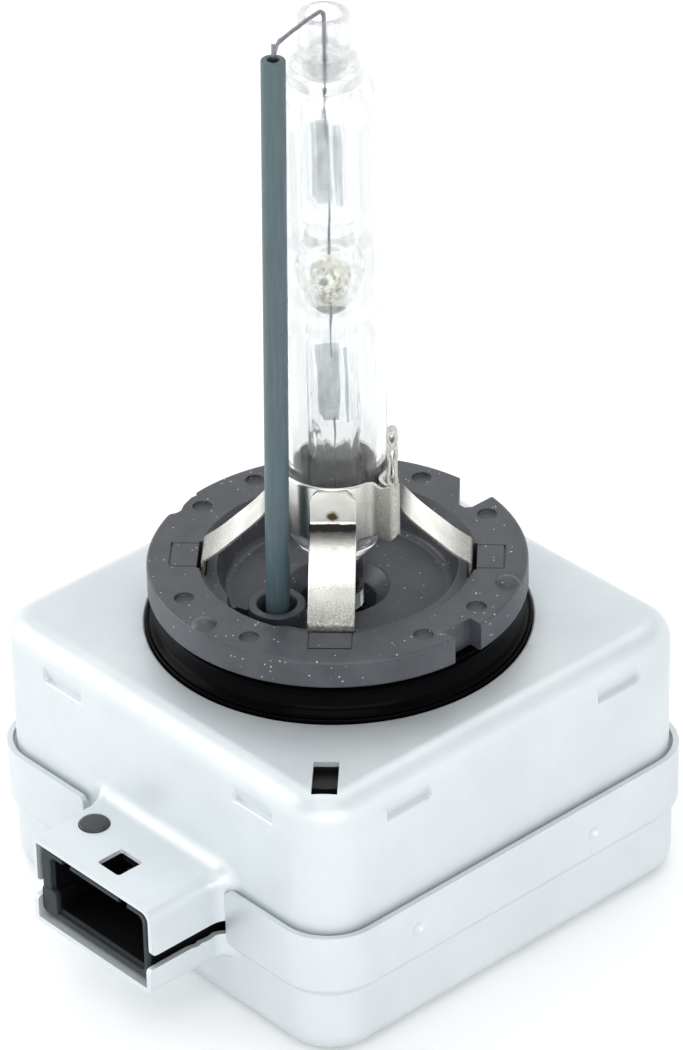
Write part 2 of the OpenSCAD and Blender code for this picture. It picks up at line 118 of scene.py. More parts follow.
def arc(centre, radius, start, end, steps):
    """Points of an arc in the plane; radius may be one number or two."""
    rx, ry = radius if isinstance(radius, tuple) else (radius, radius)
    turns = [math.radians(start + (end - start) * i / steps) for i in range(steps + 1)]
    return [(centre[0] + rx * math.cos(t), centre[1] + ry * math.sin(t)) for t in turns]


def rounded(points, closed=False, steps=5):
    """A line through (x, y, radius) corners, with each corner rounded to its radius."""
    made = []
    count = len(points)
    for i, (x, y, radius) in enumerate(points):
        here = Vector((x, y))
        if radius <= 0 or (not closed and i in (0, count - 1)):
            made.append((x, y))
            continue
        before = (Vector(points[i - 1][:2]) - here)
        after = (Vector(points[(i + 1) % count][:2]) - here)
        half = before.angle(after) / 2
        reach = min(radius / math.tan(half), 0.49 * before.length, 0.49 * after.length)
        radius = reach * math.tan(half)
        start, end = here + before.normalized() * reach, here + after.normalized() * reach
        middle = here + (before.normalized() + after.normalized()).normalized() * (radius / math.sin(half))
        for k in range(steps + 1):
            ray = (start - middle).slerp(end - middle, k / steps)
            made.append(tuple(middle + radius * ray))
    return made


def smooth_line(points, steps=8):
    """A Catmull-Rom curve through points of any dimension."""
    line = [Vector(p) for p in points]
    line = [2 * line[0] - line[1]] + line + [2 * line[-1] - line[-2]]
    made = []
    for i in range(1, len(line) - 2):
        a, b, c, d = line[i - 1:i + 3]
        for k in range(steps):
            t = k / steps
            made.append(0.5 * (2 * b + (c - a) * t + (2 * a - 5 * b + 4 * c - d) * t * t
                               + (3 * b - a - 3 * c + d) * t ** 3))
    made.append(line[-2])
    return made


def loft(loops, around=True, along=False, caps=(False, False)):
    """Faces between rows of points. around joins each row's ends, along joins the last row to the first."""
    count = len(loops[0])
    verts = [Vector(p) for loop in loops for p in loop]
    faces = []
    rows = len(loops)
    for i in range(rows if along else rows - 1):
        a, b = i * count, ((i + 1) % rows) * count
        for j in range(count if around else count - 1):
            k = (j + 1) % count
            faces.append((a + j, a + k, b + k, b + j))
    if caps[0]:
        faces.append(tuple(reversed(range(count))))
    if caps[1]:
        faces.append(tuple(range((rows - 1) * count, rows * count)))
    return verts, faces


def lathe(profile, steps=128, closed=False, wobble=None):
    """A profile of (radius, height) points turned round the Z axis."""
    loops = []
    for i in range(steps):
        turn = 2 * math.pi * i / steps
        row = []
        for radius, height in profile:
            r = radius * (wobble(radius, turn, height) if wobble else 1)
            row.append((r * math.cos(turn), r * math.sin(turn), height))
        loops.append(row)
    return loft(loops, around=closed, along=True)


def prism(outline, low, high):
    """An outline in X and Y drawn up from low to high."""
    return loft([[(x, y, z) for x, y in outline] for z in (low, high)], caps=(True, True))


def block(low, high):
    (x0, y0, z0), (x1, y1, z1) = low, high
    return prism([(x0, y0), (x1, y0), (x1, y1), (x0, y1)], z0, z1)


def tube(path, radius, sides=16):
    """A round bar along a path. radius is one number or one for each point."""
    path = [Vector(p) for p in path]
    radii = radius if isinstance(radius, (list, tuple)) else [radius] * len(path)
    side = None
    loops = []
    for i, point in enumerate(path):
        run = (path[min(i + 1, len(path) - 1)] - path[max(i - 1, 0)]).normalized()
        if side is None:
            side = run.orthogonal().normalized()
        side = (side - run * side.dot(run)).normalized()
        other = run.cross(side)
        loops.append([
            point + radii[i] * (math.cos(t) * side + math.sin(t) * other)
            for t in (2 * math.pi * k / sides for k in range(sides))
        ])
    return loft(loops, caps=(True, True))


def run_at(path, i):
    """Direction of a path in a plane at its point i."""
    x0, y0 = path[max(i - 1, 0)]
    x1, y1 = path[min(i + 1, len(path) - 1)]
    return Vector((x1 - x0, y1 - y0)).normalized()


def moved(mesh, matrix):
    return [matrix @ v for v in mesh[0]], mesh[1]


def shifted(mesh, x, y, z):
    return moved(mesh, Matrix.Translation((x, y, z)))


def turned(mesh, degrees):
    return moved(mesh, Matrix.Rotation(math.radians(degrees), 4, "Z"))


def joined(*meshes):
    verts, faces = [], []
    for part in meshes:
        start = len(verts)
        verts += part[0]
        faces += [tuple(start + i for i in face) for face in part[1]]
    return verts, faces


def raw_object(name, mesh):
    """An object from points in millimetres, with doubles merged and normals outward."""
    data = bpy.data.meshes.new(name)
    data.from_pydata([tuple(v * MM for v in Vector(p)) for p in mesh[0]], [], mesh[1])
    work = bmesh.new()
    work.from_mesh(data)
    bmesh.ops.remove_doubles(work, verts=work.verts, dist=1e-7)
    bmesh.ops.dissolve_degenerate(work, edges=work.edges, dist=1e-8)
    bmesh.ops.recalc_face_normals(work, faces=work.faces)
    work.to_mesh(data)
    work.free()
    made = bpy.data.objects.new(name, data)
    bpy.context.scene.collection.objects.link(made)
    return made


def applied(piece):
    """Applies every modifier of a piece to its mesh."""
    bpy.context.view_layer.update()
    data = bpy.data.meshes.new_from_object(piece.evaluated_get(bpy.context.evaluated_depsgraph_get()))
    piece.modifiers.clear()
    piece.data = data
    return piece


def boolean(piece, mesh, operation="DIFFERENCE"):
    """Cuts a mesh out of a piece, or adds it."""
    tool = raw_object("tool", mesh)
    change = piece.modifiers.new("change", "BOOLEAN")
    change.operation = operation
    change.solver = "EXACT"
    change.use_self = True
    change.object = tool
    applied(piece)
    bpy.data.objects.remove(tool)
    return piece


def finished(piece, slot, nodes, look=None, crease=32):
    """Shades a piece, gives it its look and slot, and puts it in place of its CAD nodes."""
    piece.data.shade_smooth()
    piece.data.set_sharp_from_angle(angle=math.radians(crease))
    even = piece.modifiers.new("even", "WEIGHTED_NORMAL")
    even.keep_sharp = True
    applied(piece)
    piece.data.materials.clear()
    piece.data.materials.append(LOOKS[look or slot])
    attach(piece, ROOT)
    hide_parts(*nodes)


def simple_piece(name, mesh, slot, **shading):
    """A piece made of one mesh, in place of the CAD node of the same name."""
    finished(raw_object(name, mesh), slot, [name], **shading)


# ---- materials

class Nodes:
    """The shader nodes of a material or a world in the making."""

    def __init__(self, owner):
        owner.use_nodes = True
        self.tree = owner.node_tree

    def add(self, kind, inputs=None, **settings):
        made = self.tree.nodes.new(kind)
        for key, value in settings.items():
            setattr(made, key, value)
        for key, value in (inputs or {}).items():
            self.feed(made.inputs[key], value)
        return made

    def feed(self, socket, value):
        if isinstance(value, bpy.types.NodeSocket):
            self.tree.links.new(value, socket)
        else:
            socket.default_value = value

    def range(self, value, low, high, to_low=0.0, to_high=1.0):
        return self.add("ShaderNodeMapRange", {
            "Value": value, "From Min": low, "From Max": high, "To Min": to_low, "To Max": to_high,
        }).outputs[0]

    def math(self, operation, *values):
        return self.add("ShaderNodeMath", dict(enumerate(values)), operation=operation).outputs[0]

    def times(self, first, second):
        return self.math("MULTIPLY", first, second)


class Look(Nodes):
    """A material in the making, with texture coordinates in millimetres."""

    def __init__(self, name, **values):
        self.material = bpy.data.materials.new(name)
        super().__init__(self.material)
        self.shader = self.tree.nodes["Principled BSDF"]
        self.place = self.add("ShaderNodeVectorMath", {
            0: self.add("ShaderNodeTexCoord").outputs["Object"], "Scale": 1 / MM,
        }, operation="SCALE").outputs[0]
        self.set(**values)

    def set(self, **values):
        for key, value in values.items():
            self.feed(self.shader.inputs[key.replace("_", " ")], value)

    def surface(self, pattern, dark, light, smooth, rough, relief):
        """Colour and roughness that follow one pattern, and a relief."""
        self.set(
            Base_Color=self.mix(pattern, dark, light),
            Roughness=self.range(pattern, 0.3, 0.7, smooth, rough),
            Normal=relief,
        )
        return self.material

    def stretched(self, x, y, z):
        """The coordinates with each axis scaled, for a grain that runs one way."""
        return self.add("ShaderNodeMapping", {"Vector": self.place, "Scale": (x, y, z)}).outputs[0]

    def axes(self):
        """The place's X, Y and Z."""
        return self.add("ShaderNodeSeparateXYZ", {0: self.place}).outputs

    def noise(self, size, detail=3, rough=0.5, place=None):
        """Noise from 0 to 1 with features of about size millimetres."""
        return self.add("ShaderNodeTexNoise", {
            "Vector": place or self.place, "Scale": 1 / size, "Detail": detail, "Roughness": rough,
        }).outputs["Fac"]

    def mix(self, share, first, second):
        made = self.add("ShaderNodeMix", {0: share, 6: first, 7: second}, data_type="RGBA")
        return made.outputs[2]

    def bump(self, height, depth, strength=1.0, before=None):
        """Relief of depth millimetres."""
        inputs = {"Height": height, "Distance": depth * MM, "Strength": strength}
        if before:
            inputs["Normal"] = before
        return self.add("ShaderNodeBump", inputs).outputs[0]


def rgb(red, green, blue, alpha=1.0):
    """A colour given as display values from 0 to 255."""
    def linear(value):
        value /= 255
        return value / 12.92 if value <= 0.04045 else ((value + 0.055) / 1.055) ** 2.4
    return (linear(red), linear(green), linear(blue), alpha)


def shield_look():
    """Satin tinned sheet: fine grain, faint draw marks and slow waves."""
    look = Look("shield_sheet", Metallic=0.45)
    cloud = look.noise(9, 4, 0.6)
    grain = look.noise(0.12, 2, 0.6)
    drawn = look.noise(0.35, 3, 0.6, look.stretched(1, 1, 0.12))
    look.set(
        Base_Color=look.mix(look.range(cloud, 0.35, 0.7), rgb(205, 211, 214), rgb(213, 218, 220)),
        Roughness=look.range(drawn, 0.3, 0.75, 0.4, 0.48),
        Normal=look.bump(cloud, 0.03, 0.5, look.bump(grain, 0.006, 0.5)),
    )
    return look.material


def cap_look():
    """Moulded dark grey plastic, slightly rough, with dust in specks."""
    look = Look("cap_plastic")
    cloud = look.noise(2.4, 5, 0.6)
    skin = look.noise(0.16, 3, 0.7)
    dust = look.add("ShaderNodeTexVoronoi", {"Vector": look.place, "Scale": 1.7, "Randomness": 1.0})
    spread = look.noise(1.7, 2, 0.5)
    speck = look.times(
        look.range(dust.outputs["Distance"], 0.15, 0.08), look.range(spread, 0.48, 0.56)
    )
    body = look.mix(look.range(cloud, 0.3, 0.75), rgb(54, 56, 61), rgb(71, 73, 79))
    look.set(
        Base_Color=look.mix(speck, body, rgb(190, 190, 188)),
        Roughness=look.range(cloud, 0.3, 0.7, 0.34, 0.44),
        Normal=look.bump(skin, 0.02, 0.5, look.bump(cloud, 0.05, 0.4)),
    )
    return look.material


def seal_look():
    look = Look("seal_rubber", Specular_IOR_Level=0.03)
    relief = look.bump(look.noise(0.3, 3), 0.01, 0.5)
    return look.surface(look.noise(3, 4, 0.6), rgb(1, 1, 2), rgb(5, 5, 6), 0.16, 0.26, relief)


def plastic_look(name, dark, light, roughness, grain):
    look = Look(name)
    relief = look.bump(look.noise(grain, 3, 0.6), 0.015, 0.5)
    cloud = look.noise(2, 4, 0.6)
    return look.surface(cloud, dark, light, roughness - 0.05, roughness + 0.07, relief)


def socket_look():
    """Grey moulded plastic on the mouth's face, with painted shade that turns it near black and matt
    inside.
    """
    look = Look("socket_plastic", Specular_IOR_Level=0.12)
    cloud = look.noise(2, 4, 0.6)
    # Painted shade: past 0.3 mm behind the mouth's face the colour goes from grey to near black, where the
    # cavity lies in shade.
    depth = look.range(look.axes()["Y"], SOCKET_LOW.y + 0.3, SOCKET_LOW.y + 0.6)
    look.set(
        # Grey face mixed into the near-black painted shade of the cavity.
        Base_Color=look.mix(depth, look.mix(cloud, rgb(42, 47, 50), rgb(56, 61, 64)), rgb(2, 2, 2)),
        Roughness=look.range(depth, 0.0, 1.0, 0.42, 0.7),
        Normal=look.bump(look.noise(0.2, 3, 0.6), 0.015, 0.5),
    )
    return look.material


def nickel_look(name, axis, bright, frosted):
    """Rolled warm strip, bright at one place on an axis and frosted from another on."""
    look = Look(name, Metallic=1.0)
    axes = look.axes()
    frost = look.range(axes[axis], bright, frosted)
    grain = look.noise(0.09, 4, 0.7)
    rolled = look.noise(0.12, 3, 0.6, look.stretched(1, 1, 0.14))
    cloud = look.noise(2.2, 3, 0.5)
    sheet = look.mix(look.range(cloud, 0.35, 0.7), rgb(214, 213, 206), rgb(238, 237, 232))
    sheet = look.mix(look.times(frost, look.range(grain, 0.42, 0.6)), sheet, rgb(166, 164, 157))
    look.set(
        Base_Color=sheet,
        Roughness=look.range(frost, 0.0, 1.0, 0.2, 0.38),
        Normal=look.bump(grain, 0.05, look.range(frost, 0.0, 1.0, 0.12, 1.0),
                         look.bump(rolled, 0.01, 0.5)),
    )
    return look, sheet, axes


def band_look():
    """The band's sheet, frosted where it is folded out into the lug."""
    look, _, _ = nickel_look("nickel_sheet", "X", 4.2, 5.3)
    return look.material


def leg_look():
    """The legs' sheet: a painted reflection as a dark band across the bend, a frosted foot that is darker
    towards its bottom, and heat tint round the spot weld.
    """
    look, sheet, axes = nickel_look("leg_sheet", "Z", 3.2, 1.2)
    height = axes["Z"]
    aside = look.math("SUBTRACT", *(look.math("ABSOLUTE", axes[axis]) for axis in "XY"))
    above = look.math("SUBTRACT", height, WELD_Z)
    offset = look.add("ShaderNodeCombineXYZ", {0: look.times(aside, 0.6), 1: above}).outputs[0]
    far = look.add("ShaderNodeVectorMath", {0: offset}, operation="LENGTH").outputs["Value"]
    ragged = look.math("SUBTRACT", far, look.times(look.noise(0.25, 4, 0.7), 0.5))
    wavy = look.math("ADD", height, look.times(look.noise(0.4, 3), 0.3))
    # Painted reflection: a dark band across the bend, where the curved sheet reflects the dark ring below.
    bend = look.times(look.range(wavy, 6.62, 6.48), look.range(wavy, 5.1, 6.05))
    # The foot gets darker and speckled towards its bottom.
    foot = look.times(look.range(height, 2.0, 0.5), look.range(look.noise(0.16, 4, 0.7), 0.3, 0.6))
    darker_foot = look.mix(look.times(foot, 0.8), sheet, rgb(104, 102, 100))
    # Dark grey of the bend's painted reflection.
    with_painted_bend_reflection = look.mix(bend, darker_foot, rgb(56, 54, 55))
    look.set(Base_Color=look.mix(look.range(ragged, 0.3, 0.0), with_painted_bend_reflection, rgb(84, 72, 50)))
    return look.material


def metal_look(name, dark, light, roughness):
    look = Look(name, Metallic=1.0)
    drawn = look.noise(0.3, 4, 0.6, look.stretched(1, 1, 0.15))
    relief = look.bump(look.noise(0.1, 3), 0.006, 0.5)
    return look.surface(drawn, dark, light, roughness - 0.06, roughness + 0.08, relief)


def ceramic_look():
    """Grey-green glazed ceramic with faint mottling."""
    look = Look("ceramic", Coat_Weight=0.15, Coat_Roughness=0.25)
    mottle = look.noise(0.7, 5, 0.65)
    streak = look.noise(0.35, 4, 0.6, look.stretched(1, 1, 0.08))
    look.set(
        Base_Color=look.mix(look.range(streak, 0.3, 0.7), rgb(62, 80, 85), rgb(74, 93, 98)),
        Roughness=look.range(mottle, 0.3, 0.7, 0.36, 0.5),
        Normal=look.bump(mottle, 0.02, 0.5),
    )
    return look.material


def quartz_look():
    """Rippled quartz, darkened at its foot by painted shade where it goes down into the cap's hole, and
    clearer upward, that lets the lamps' light through.
    """
    look = Look("clear_quartz", Roughness=0.0, IOR=1.459, Transmission_Weight=1.0)
    height = look.axes()["Z"]
    # Painted shade: the quartz turns dark grey from just above the ring's top down into the cap's hole.
    painted_hole_shade = look.range(height, 1.6, -1.2)
    look.set(
        Base_Color=look.mix(painted_hole_shade, (0.975, 0.984, 0.986, 1), (0.16, 0.17, 0.175, 1)),
        Alpha=look.range(height, 10, 45.5, 0.95, 0.64),
        Normal=look.bump(look.noise(1.3, 2, 0.5, look.stretched(1, 1, 0.16)), 0.05, 0.6),
    )
    path = look.add("ShaderNodeLightPath")
    clear = look.add("ShaderNodeBsdfTransparent", {"Color": (0.97, 0.98, 0.975, 1)})
    both = look.add("ShaderNodeMixShader", {
        0: path.outputs["Is Shadow Ray"], 1: look.shader.outputs[0], 2: clear.outputs[0],
    })
    look.tree.links.new(both.outputs[0], look.tree.nodes["Material Output"].inputs["Surface"])
    return look.material


def foil_look():
    """Matt pale foil with creases across it."""
    look = Look("molybdenum", Metallic=0.25)
    creased = look.noise(0.5, 4, 0.6, look.stretched(1, 1, 0.4))
    look.set(
        Base_Color=look.mix(look.range(creased, 0.35, 0.65), rgb(150, 157, 160), rgb(196, 201, 204)),
        Roughness=look.range(creased, 0.3, 0.7, 0.4, 0.6),
        Normal=look.bump(creased, 0.03, 0.5),
    )
    return look.material


def salt_look():
    """Cream film full of tiny dark droplets, ragged at its top, with a bare round patch."""
    look = Look("metal_salt", Roughness=0.6)
    drops = look.add("ShaderNodeTexVoronoi", {"Vector": look.place, "Scale": 3.4, "Randomness": 1.0})
    drop = drops.outputs["Distance"]
    away = look.add("ShaderNodeVectorMath", {0: look.place, 1: SALT_SPOT}, operation="DISTANCE")
    away = away.outputs["Value"]
    between = look.range(drop, 0.38, 0.45)
    film = look.mix(between, rgb(40, 37, 24), rgb(248, 245, 226))
    film = look.mix(look.range(away, 0.72, 0.56), film, rgb(250, 250, 246))
    thin = look.range(look.noise(0.3, 4, 0.7), 0.36, 0.6, 0.25, 0.75)
    ragged = look.math("ADD", look.axes()["Z"], look.times(look.noise(0.8, 3), 1.8))
    cover = look.range(between, 0.0, 1.0, 0.98, thin)
    look.set(
        Base_Color=look.mix(look.range(away, 0.36, 0.28), film, rgb(54, 56, 58)),
        Alpha=look.times(cover, look.range(ragged, ARC_Z + 2.5, ARC_Z + 1.6)),
        Normal=look.bump(drop, 0.05, 0.6),
    )
    return look.material


def board_look():
    look = Look("board_laminate", Coat_Weight=0.3, Coat_Roughness=0.2)
    weave = look.noise(0.4, 3, 0.5)
    return look.surface(weave, rgb(28, 82, 50), rgb(44, 108, 66), 0.4, 0.5, look.bump(weave, 0.01, 0.5))


def floor_look():
    look = Look("floor_paint", Roughness=0.9)
    cloud = look.noise(60, 2, 0.4)
    look.set(Base_Color=look.mix(cloud, (0.96, 0.96, 0.96, 1), (0.97, 0.97, 0.97, 1)))
    return look.material


# Plain plastics: name, dark, light, roughness and size of the grain
PLASTICS = (
    ("housing_plastic", rgb(4, 4, 5), rgb(9, 9, 10), 0.55, 0.2),
    ("plug_plastic", rgb(30, 31, 34), rgb(50, 51, 56), 0.34, 0.12),
    ("ferrite", rgb(40, 40, 43), rgb(60, 60, 63), 0.6, 0.1),
    ("bobbin_plastic", rgb(24, 24, 25), rgb(36, 36, 38), 0.6, 0.2),
    ("component_ceramic", rgb(208, 203, 190), rgb(224, 220, 208), 0.35, 0.2),
    ("capacitor_coat", rgb(44, 74, 138), rgb(62, 94, 160), 0.25, 0.2),
)
# Plain metals: name, dark, light and roughness
METALS = (
    ("lead_metal", rgb(104, 103, 110), rgb(150, 149, 156), 0.28),
    ("tungsten", rgb(84, 84, 90), rgb(120, 120, 126), 0.35),
    ("contact_metal", rgb(92, 80, 54), rgb(124, 110, 78), 0.42),
    ("winding_copper", rgb(150, 84, 46), rgb(206, 130, 80), 0.3),
)
LOOKS = {
    "shield_sheet": shield_look(),
    "cap_plastic": cap_look(),
    "seal_rubber": seal_look(),
    "socket_plastic": socket_look(),
    "nickel_sheet": band_look(),
    "leg_sheet": leg_look(),
    "molybdenum": foil_look(),
    "metal_salt": salt_look(),
    "ceramic": ceramic_look(),
    "clear_quartz": quartz_look(),
    "board_laminate": board_look(),
}
LOOKS.update((values[0], plastic_look(*values)) for values in PLASTICS)
LOOKS.update((values[0], metal_look(*values)) for values in METALS)


# ---- case

def square_ring(half, height, marks=(), corner_steps=10):
    """A rounded square of the case at one height. Its straight sides hold points at marks."""
    corner = half - FLAT
    places = sorted({-FLAT, FLAT, *marks})
    made = []
    for side in range(4):
        turn = Matrix.Rotation(math.radians(90 * side), 2)
        for x in places:
            made.append(turn @ Vector((x, -half)))
        for x, y in arc((FLAT, -FLAT), corner, -90, 0, corner_steps)[1:-1]:
            made.append(turn @ Vector((x, y)))
    return [(p.x, p.y, height) for p in made]


def round_ring(radius, height, like):
    """A circle whose points lie in the directions of another ring's points."""
    made = []
    for x, y, _ in like:
        scale = radius / math.hypot(x, y)
        made.append((x * scale, y * scale, height))
    return made


LANCE_FOOT = -9.4
LANCE_RISE = 1.85
LANCE_DEPTH = 0.5
LANCE_SIDE = 0.12  # how far a flap's side edges slope in
LANCES = ((-13.9, -9.0), (9.9, 14.8))
SKIRT = -22.1  # lower edge of the upper shield's wall
LANCE_STEPS = ((0.0, 0.0), (0.25, 0.12), (0.55, 0.42), (0.8, 0.78), (0.95, 0.97), (1.0, 1.0),
               (1.03, 0.8), (1.06, 0.35), (1.1, 0.1), (1.16, 0.0))


def lance_depth(along, height):
    """How far the case wall is pressed in: flaps that slope in and end in a ledge."""
    level = (LANCE_FOOT + LANCE_RISE - height) / LANCE_RISE
    depth = 0
    for (a, da), (b, db) in zip(LANCE_STEPS, LANCE_STEPS[1:]):
        if a <= level <= b:
            depth = da + (db - da) * (level - a) / (b - a)
    for left, right in LANCES:
        inside = min(along - left, right - along) / LANCE_SIDE
        if inside > 0:
            return LANCE_DEPTH * depth * min(1, inside)
    return 0


def wall_ring(half, height, marks):
    """A ring of the upper shield's wall, with the lances pressed in."""
    made = []
    for x, y, z in square_ring(half, height, marks):
        if abs(x) <= FLAT + EPS and abs(y) > FLAT:
            y -= math.copysign(lance_depth(x if y < 0 else -x, height), y)
        elif abs(y) <= FLAT + EPS and abs(x) > FLAT:
            x -= math.copysign(lance_depth(y if x > 0 else -y, height), x)
        made.append((x, y, z))
    return made


def upper_body():
    """The drawn top shell: wall, rounded top edge and the round opening, as one closed sheet.

    Its columns of points follow the directions of the round opening, three degrees apart.
    """
    marks = [CASE_HALF * math.tan(math.radians(turn)) for turn in range(-36, 37, 3)]
    for left, right in LANCES:
        for inset in (-0.02, LANCE_SIDE, 0.4):
            marks += [left + inset, right - inset]
    heights = {LANCE_FOOT + LANCE_RISE * (1 - level) for level, _ in LANCE_STEPS} | {-12, -16, -20, SKIRT}
    outer, inner = [], []
    for z in sorted(z for z in heights if z < CASE_TOP - DRAW):
        outer.append(wall_ring(CASE_HALF, z, marks))
        inner.append(wall_ring(CASE_HALF - SHEET, z, marks))
    for inset, rings in ((0, outer), (SHEET, inner)):
        radius = DRAW - inset
        for x, z in arc((CASE_HALF - DRAW, CASE_TOP - DRAW), radius, 0, 90, 10):
            rings.append(wall_ring(x, z, marks))
    like = outer[-1]
    lip = rounded([
        (OPENING_R + 1.2, CASE_TOP, 0), (OPENING_R, CASE_TOP, 0.22),
        (OPENING_R, CASE_TOP - SHEET, 0.15), (OPENING_R + 1.2, CASE_TOP - SHEET, 0),
    ])
    rim = [round_ring(r, z, like) for r, z in lip]
    return loft(outer + rim + inner[::-1], along=True)


WINDOW_SPAN = (21.65, 26.05)  # the window's near and far edge from the axis
WINDOW_HALF = 1.05
WINDOW_TURN = -45
PANE_X = (0.6, 3.3)
PANE_Y = (-27.75, -25.1)
PLUG_HOLE = 1.36
COVER_LEFT = (-5.85, -6.1)  # at the cover's front and at the wall
COVER_RIGHT = 9.08
COVER_SHEET = 0.4
COVER_FRONT = UPPER_LOW.y
COVER_TOP = PLUG_HIGH.z - 0.05
PLUG_AT = ((PLUG_LOW.x + PLUG_HIGH.x) / 2 + 0.25, (PLUG_LOW.y + PLUG_HIGH.y) / 2 - 0.25)
COVER_FOOT = -21.55
COVER_EDGES = (0.5, 1.15)
COVER_FLARE = (1.9, 1.4)  # radius of the flare into the wall, at the sides and on top
COVER_CORNER = 0.5
TRAY_FRONT = LOWER_LOW.y
TRAY_LEFT = (-5.7, -5.9)
TRAY_TOP = -22.8
TRAY_FOOT = -25.3
TRAY_EDGES = (0.5, 0.7)
TRAY_FLARE = (1.7, 0.6)
TRAY_CORNER = 0.4


def channel_side(edge_x, direction, centre_z, foot, turn_z, edge):
    """Half a channel's section from its foot up to its flat: (x, z, side share, top share)."""
    points = [(edge_x, foot + (centre_z - foot) * t, 1, 0) for t in (0, 0.12, 0.35, 0.7, 1)]
    for step in range(1, 7):
        turn = math.radians(15 * step)
        x = edge_x + direction * edge * (1 - math.cos(turn))
        points.append((x, centre_z + turn_z * edge * math.sin(turn), math.cos(turn), math.sin(turn)))
    return points


def channel_row(y, spread, inset, top, foot, sides, edges, wall_y, sweep):
    """One row of a channel's section. spread widens it where it flares into the wall."""
    turn_z = 1 if top > foot else -1
    top -= turn_z * inset
    left, right = sides[0] + inset, sides[1] - inset
    edge_left, edge_right = (max(edge - inset, 0.15) for edge in edges)
    row = channel_side(left, 1, top - turn_z * edge_left, foot, turn_z, edge_left)
    row += [(left + (right - left) * t, top, 0, 1) for t in (0.25, 0.5, 0.75)]
    row += channel_side(right, -1, top - turn_z * edge_right, foot, turn_z, edge_right)[::-1]
    made = []
    for i, (x, z, side, up) in enumerate(row):
        x += spread[0] * side * (-1 if 2 * i < len(row) else 1)
        z += spread[1] * up * turn_z
        depth = sweep[0] * side + sweep[1] * up
        made.append((x, y if depth == 0 else wall_y - depth, z))
    return made


def channel(top, foot, edges, front, wall_y, lefts, flare, corner, sheet, ragged=None):
    """A three-sided sheet channel that stands out of a wall and is flared into it."""
    sheets = []
    start = wall_y - max(flare)
    depths = [0, 0.04, 0.12, 0.3, 0.6, 1.0, 2.0, 3.2, 4.0, 4.4, 4.8, 5.2, 5.6, 6.0]
    depths = [d for d in depths if front + d < start - 0.1] + [start - front]
    for inset in (0, sheet):
        rows = []
        for depth in depths:
            y = front + depth
            left = lefts[0] + (lefts[1] - lefts[0]) * min(1, depth / 6)
            lift = corner - math.sqrt(max(0, corner ** 2 - max(0, corner - depth) ** 2))
            lift = lift if top > foot else -lift
            if ragged:
                lift -= ragged(y)
            sides = (left, COVER_RIGHT)
            rows.append(channel_row(y, (0, 0), inset, top, foot + lift, sides, edges, wall_y, (0, 0)))
        for k in range(1, 9):
            turn = math.radians(90 * k / 8)
            spread = [(f + inset) * (1 - math.cos(turn)) for f in flare]
            sweep = [max(f - (f + inset) * math.sin(turn), -inset) + 1e-6 for f in flare]
            sides = (lefts[1], COVER_RIGHT)
            rows.append(channel_row(0, spread, inset, top, foot, sides, edges, wall_y, sweep))
        sheets.append(rows)
    outer, inner = sheets
    loops = [a + b[::-1] for a, b in zip(outer, inner)]
    verts, faces = loft(loops)
    count = len(loops[0])
    for start in (0, (len(loops) - 1) * count):
        for i in range(count // 2 - 1):
            end = start + count - 1 - i
            faces.append((start + i, start + i + 1, end - 1, end))
    return verts, faces


def ragged_edge(y):
    """Tear at the tray wall's top edge, beside the case."""
    if y < -24.9:
        return 0
    return 0.1 + 0.16 * noise.noise(Vector((y * 1.9, 3.1, 0)))


def across(outline, low, high):
    """A prism along Y from an outline in X and Z."""
    return loft([[(x, y, z) for x, z in outline] for y in (low, high)], caps=(True, True))


def doorway(margin, left, edge, beyond):
    """Outline of the opening that a channel needs in its wall, from past the wall's end up to an edge."""
    left, right = left - margin, COVER_RIGHT + margin
    return [(left, beyond), (left, edge), (right, edge), (right, beyond)]


def build_upper_shield():
    body = raw_object("upper_shield", upper_body())
    wall = -CASE_HALF
    boolean(body, across(doorway(0.6, COVER_LEFT[1], COVER_TOP + 0.9, FLOOR), wall - 1, wall + 2))
    near, far = WINDOW_SPAN
    window = block((near, -WINDOW_HALF, CASE_TOP - 4), (far, WINDOW_HALF, CASE_TOP + 1))
    boolean(body, turned(window, WINDOW_TURN))
    cover = raw_object("cover", channel(
        COVER_TOP, COVER_FOOT, COVER_EDGES, COVER_FRONT, wall, COVER_LEFT, COVER_FLARE, COVER_CORNER,
        COVER_SHEET))
    hole = prism(arc(PLUG_AT, PLUG_HOLE, 0, 352.5, 47), COVER_TOP - 2, COVER_TOP + 2)
    (left, right), (front, back) = PANE_X, PANE_Y
    pane = rounded([(left, front, 0.3), (right, front, 0.3), (right, back, 0.15), (left, back, 0.15)],
                   closed=True)
    boolean(cover, joined(hole, prism(pane, COVER_TOP - 2, COVER_TOP + 2)))
    merge(body, cover)
    finished(body, "shield_sheet", ["upper_shield"], crease=40)


def merge(piece, *others):
    """Joins other objects' meshes into a piece."""
    work = bmesh.new()
    work.from_mesh(piece.data)
    for other in others:
        work.from_mesh(other.data)
        bpy.data.objects.remove(other)
    work.to_mesh(piece.data)
    work.free()
    return piece


RIM_GAP = (-8.5, 9.5)  # where the rim is cut away for the connector
RIM_GAP_FOOT = -23.6
DENTS = ((-11.5, -21.0), (8.6, -21.5))  # punched dents of the right side, as y and z
DENT_R = 0.8
DENT_OUT = 0.54  # how far a dent's centre lies outside the rim


